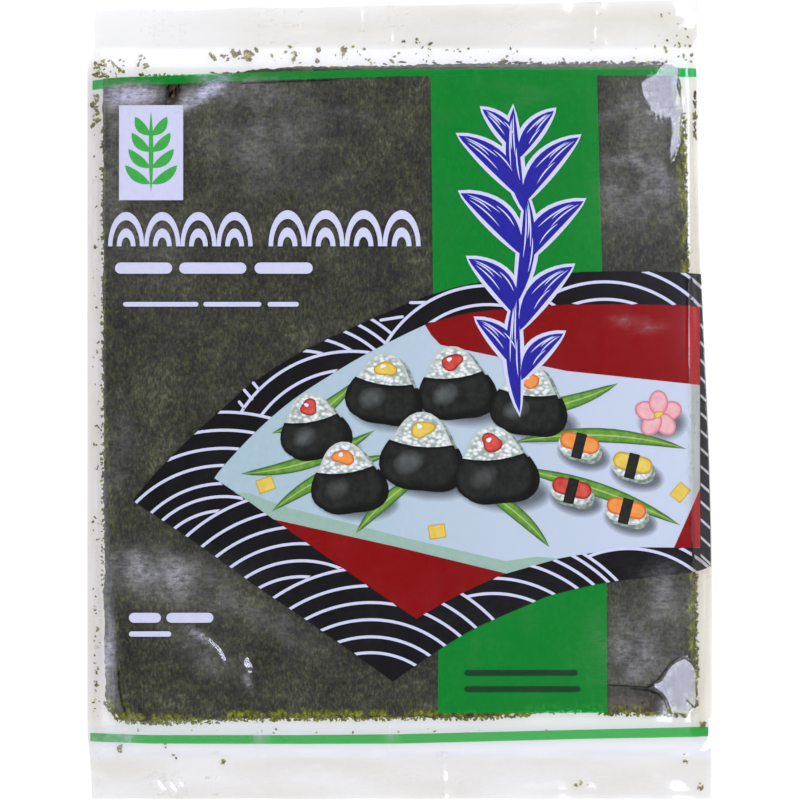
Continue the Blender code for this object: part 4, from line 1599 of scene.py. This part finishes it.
def print_toppings():
    """A sheen on each dark wrap, and a spot of filling with a glint on each ball."""
    sheens, toppings, glints = [], [[], [], []], []
    for place, (middle, size, turn) in enumerate(RICE_BALLS):
        sheen, top = [(size * x, size * y) for x, y in (SHEEN_PLACE, (0.0, TOPPING_UP))]
        sheen, top = placed([sheen, top], middle, turn)
        sheens.append([ellipse(sheen, *(size * half for half in SHEEN_HALVES), turn + SHEEN_TURN)])
        toppings[place % 3].append([blob(top, size * TOPPING_SIZE, 1.7 * place)])
        glint = (top[0] - size * GLINT_OFF, top[1] + size * GLINT_OFF)
        glints.append([blob(glint, size * GLINT_SIZE, place)])
    print_layer("wrap_sheens", sheens)
    for colour, shapes in zip(("red", "yellow", "orange"), toppings):
        print_layer(colour + "_toppings", shapes)
    print_layer("glints", glints)


def print_bites():
    """Oblong bites of rice with a coloured slice on top and a dark belt round the middle."""
    half_length, half_width = BITE_LENGTH / 2, BITE_WIDTH / 2
    body = rounded_bar((-half_length + half_width, 0.0), (half_length - half_width, 0.0), BITE_WIDTH)
    on_top = rounded_bar((-half_length + SLICE_SHORTER, SLICE_UP), (half_length - SLICE_SHORTER, SLICE_UP),
                         BITE_WIDTH * SLICE_WIDTH)
    belt_reach = half_width + BELT_PAST_SIDES
    belt = rectangle(-BELT_HALF_WIDTH, belt_reach, BELT_HALF_WIDTH, -belt_reach)
    behind = [((x + BITE_SIDE[0], y + BITE_SIDE[1]), turn) for (x, y), turn in BITES]
    print_layer("bite_sides", [[placed(body, *bite)] for bite in behind])
    print_layer("bites", [[placed(body, *bite)] for bite in BITES])
    for place, what in enumerate(BITE_SLICES):
        shapes = [[placed(on_top, *BITES[place])]]
        printed(f"print_bite_slice_{place + 1}", shapes, BITE_SLICE_DEPTH, ink(what), "print_red",
                border=BITE_SLICE_BORDER)
    print_layer("bite_belts", [[placed(belt, *bite)] for bite in BITES])


def print_blossom():
    """Five round petals and a small heart."""
    petals = []
    for turn in range(90, 450, 72):
        middle = round_about(BLOSSOM_MIDDLE, PETAL_REACH, math.radians(turn))
        petals.append([ellipse(middle, *PETAL_HALVES, turn)])
    print_layer("blossom", petals)
    print_layer("blossom_heart", [[blob(BLOSSOM_MIDDLE, HEART_SIZE, 0.4)]])


STREAK_WIDTH = 0.45
STREAK_BEND = 0.2               # share of its stroke's own bend
# Streaks in a brush stroke: where one starts and ends along it, and how far out from its middle
DRY_STREAKS = ((0.42, 0.88, 0.24), (0.52, 0.94, -0.18), (0.3, 0.62, -0.3), (0.6, 0.9, 0.04))


def on_blade(start, end, width, bend, share, aside):
    """A point along a blade, so much of its width off its middle line."""
    length, ahead = heading(start, end)
    out = bend * 4 * share * (1 - share) + aside * width * math.sin(math.pi * share) ** BLADE_FULLNESS
    return off_run(start, ahead, length * share, out)


def print_frond():
    """A frond in quick brush strokes: pale round the edge, and streaked where the brush ran dry."""
    print_layer("frond_border", [[blade(*stroke, FROND_BORDER)] for stroke in FROND_BLADES])
    print_layer("frond", [[blade(*stroke)] for stroke in FROND_BLADES])
    streaks = []
    for stroke in FROND_BLADES:
        for from_share, to_share, aside in DRY_STREAKS:
            ends = [on_blade(*stroke, share, aside) for share in (from_share, to_share)]
            streaks.append([blade(*ends, STREAK_WIDTH, stroke[3] * STREAK_BEND)])
    print_layer("frond_streaks", streaks)


SCALLOP_RISE = 1.9              # how much taller than half its width a small wave scale is


def scallop_row(left, bottom, count, radius):
    """A row of small wave scales, each an outer ring and an inner ring."""
    shapes = []
    for place in range(count):
        middle = (left + radius * (2 * place + 1), bottom)
        for outer, inner in ((1.0, 0.76), (0.52, 0.26)):
            loop = []
            for share, degrees in ((outer, range(0, 181, 10)), (inner, range(180, -1, -10))):
                loop += arc(middle, radius * share, radius * SCALLOP_RISE * share, degrees)
            shapes.append([loop])
    return shapes


PALE_BARS = ((-91.4, 42.0, -73.0, 3.6), (-70.8, 42.0, -49.2, 3.6), (-46.6, 42.0, -27.9, 3.6),
             (-88.8, 30.4, -64.6, 1.5), (-63.0, 30.4, -44.4, 1.5), (-42.4, 30.4, -32.4, 1.5),
             (-86.9, -70.2, -76.6, 3.2), (-74.9, -70.2, -59.8, 3.2), (-86.9, -75.4, -73.3, 1.7))
DARK_BARS = ((20.7, -87.9, 57.1, 1.8), (20.7, -93.1, 58.0, 1.8))
# Two rows of small wave scales: left, bottom, how many, and half the width of one
TITLE_ROWS = ((-93.6, 49.0, 4, 5.8), (-42.1, 49.0, 4, 6.1))
PANEL = (-90.1, 94.3, -69.5, 63.8)
SPRIG_X = -79.8
SPRIG_STEM = ((SPRIG_X, 66.5), (SPRIG_X, 92.3), 1.5)
SPRIG_LEAF = (3.2, 0.7)         # its width and its bend
SPRIG_LEAF_OFF = 0.2            # from the middle of the stem to the foot of a leaf
SPRIG_PAIRS = 4
SPRIG_LOWEST = 69.0
SPRIG_STEP = 5.2
SPRIG_REACH = 8.2               # how far out its lowest leaves reach, and how much less each next pair does
SPRIG_REACH_STEP = 1.1
SPRIG_RISE = 6.0


def bars(rows):
    """Rounded bars from rows of left end, height, right end and width."""
    shapes = []
    for left, y, right, width in rows:
        shapes.append([rounded_bar((left + width / 2, y), (right - width / 2, y), width)])
    return shapes


def print_panel_and_bars():
    """Two rows of small wave scales, plain rounded bars, and a sprig on a pale panel."""
    print_layer("title_waves", [shape for row in TITLE_ROWS for shape in scallop_row(*row)])
    print_layer("pale_bars", bars(PALE_BARS))
    print_layer("dark_bars", bars(DARK_BARS))
    print_layer("panel", [[rectangle(*PANEL)]])
    sprig = [[blade(*SPRIG_STEM)]]
    for place in range(SPRIG_PAIRS):
        y = SPRIG_LOWEST + SPRIG_STEP * place
        reach = SPRIG_REACH - SPRIG_REACH_STEP * place
        for side in (1, -1):
            foot = SPRIG_X + side * SPRIG_LEAF_OFF
            tip = (foot + side * reach, y + SPRIG_RISE)
            sprig.append([blade((foot, y), tip, SPRIG_LEAF[0], -side * SPRIG_LEAF[1])])
    print_layer("sprig", sprig)


def print_all():
    """All the print, from the stripes round both faces to the small bars."""
    faces = (("", FRONT_STRIPE_DEPTH, front_film), ("back_", BACK_STRIPE_DEPTH, back_film))
    for face, depth, surface in faces:
        for end, edges, what in (("top", TOP_STRIPE, "green"), ("bottom", BOTTOM_STRIPE, "deep_green")):
            stripe(f"print_{face}{end}_stripe", *edges, depth, surface, ink(what))
    print_layer("green_band", [[BAND]])
    print_fan()
    print_meal()
    print_frond()
    print_panel_and_bars()


# Stage, light and camera

FLOOR_DROP = 0.0004             # metres, as is the camera's distance
CAMERA_DISTANCE = 1.2
SENSOR = 36.0                   # millimetres, as are the width that the picture takes in and where it aims
PICTURE_WIDTH = 257.6
AIM = (0.08, -0.32)
SKY_STRENGTH = 0.85
DARK_OVERHEAD = (-0.05, 0.0, 0.9987)


def white_paper():
    """A matt paper sweep, lit from behind a little so that it stays evenly pale."""
    material, tree = new_material("white_paper_sweep")
    show(tree, add(tree, "ShaderNodeBsdfPrincipled", {
        "Base Color": linear("#BEBEBC"), "Roughness": 0.9, "Specular IOR Level": 0.0,
        "Emission Color": linear("#FFFFFF"), "Emission Strength": 0.5}))
    return material


def floor():
    """The sheet of paper that the pack lies on."""
    body = bmesh.new()
    bmesh.ops.create_grid(body, x_segments=2, y_segments=2, size=3.0)
    bmesh.ops.translate(body, verts=body.verts[:], vec=(0, 0, -FLOOR_DROP))
    mesh = bpy.data.meshes.new("floor")
    body.to_mesh(mesh)
    body.free()
    mesh.materials.append(white_paper())
    sheet = bpy.data.objects.new("floor", mesh)
    bpy.context.scene.collection.objects.link(sheet)


def studio_sky():
    """Even white all round, with a dark hole straight overhead where the camera looks out."""
    world = bpy.data.worlds.new("studio")
    bpy.context.scene.world = world
    world.use_nodes = True
    tree = world.node_tree
    tree.nodes.clear()
    way = add(tree, "ShaderNodeTexCoord").outputs["Generated"]
    up = add(tree, "ShaderNodeVectorMath", {"operation": "DOT_PRODUCT", 1: DARK_OVERHEAD}, {0: way})
    shade = add(tree, "ShaderNodeValToRGB", {}, {"Fac": up.outputs["Value"]}, stops=(
        (0.0, "#F8F8FF"), (1.0, "#1A1A1C"), (0.94, "#F8F8FF"), (0.975, "#202022")))
    light = add(tree, "ShaderNodeBackground", {"Strength": SKY_STRENGTH}, {"Color": shade.outputs["Color"]})
    add(tree, "ShaderNodeOutputWorld", {}, {"Surface": light.outputs[0]})


# Softboxes: name, place, turn about the left-to-right axis in degrees, width and length in metres, watts
SOFTBOXES = (
    ("softbox_upper_right", (0.41, 0.22, 1.0), 0, 0.3, 0.4, 3.9),
    ("softbox_lower_right", (0.395, -0.366, 1.0), 0, 0.3, 0.26, 2.5),
    ("panel_top", (0.0, 1.0, 0.85), -90, 1.2, 1.6, 11.0),
    ("panel_bottom", (0.0, -1.0, 1.0), 90, 1.2, 1.25, 4.0),
)


def softboxes():
    """Two softboxes that the facets on the right mirror, and two tall panels past the ends."""
    for name, place, turn, width, length, watts in SOFTBOXES:
        light = bpy.data.lights.new(name, "AREA")
        light.shape = "RECTANGLE"
        light.size = width
        light.size_y = length
        light.energy = watts
        light.color = linear("#EBECFF")[:3]
        lamp = bpy.data.objects.new(name, light)
        lamp.location = place
        lamp.rotation_euler.x = math.radians(turn)
        bpy.context.scene.collection.objects.link(lamp)


def camera():
    """Straight above the front, and far enough off that it hardly shows perspective."""
    lens = bpy.data.cameras.new("camera")
    lens.sensor_width = SENSOR
    lens.lens = SENSOR * CAMERA_DISTANCE / (PICTURE_WIDTH * MM)
    lens.clip_end = 10.0
    eye = bpy.data.objects.new("camera", lens)
    eye.location = (AIM[0] * MM, AIM[1] * MM, CAMERA_DISTANCE)
    bpy.context.scene.collection.objects.link(eye)
    bpy.context.scene.camera = eye


film_pouch()
print_all()
nori_stack(roasted_nori())
crumbs(loose_laver("dark_laver_crumbs", "#4A3A20", "#7E7A34", "#C2BE70"))
shreds(loose_laver("dark_laver_shreds", "#1C130E", "#3A2A1E", "#6A5C38"))
frayed_edges(loose_laver("yellow_green_laver_ends", "#2C300A", "#6C7016", "#AAAC3E"))
floor()
studio_sky()
softboxes()
camera()
bpy.context.scene.view_settings.view_transform = "Standard"
bpy.context.scene.cycles.transparent_max_bounces = 24
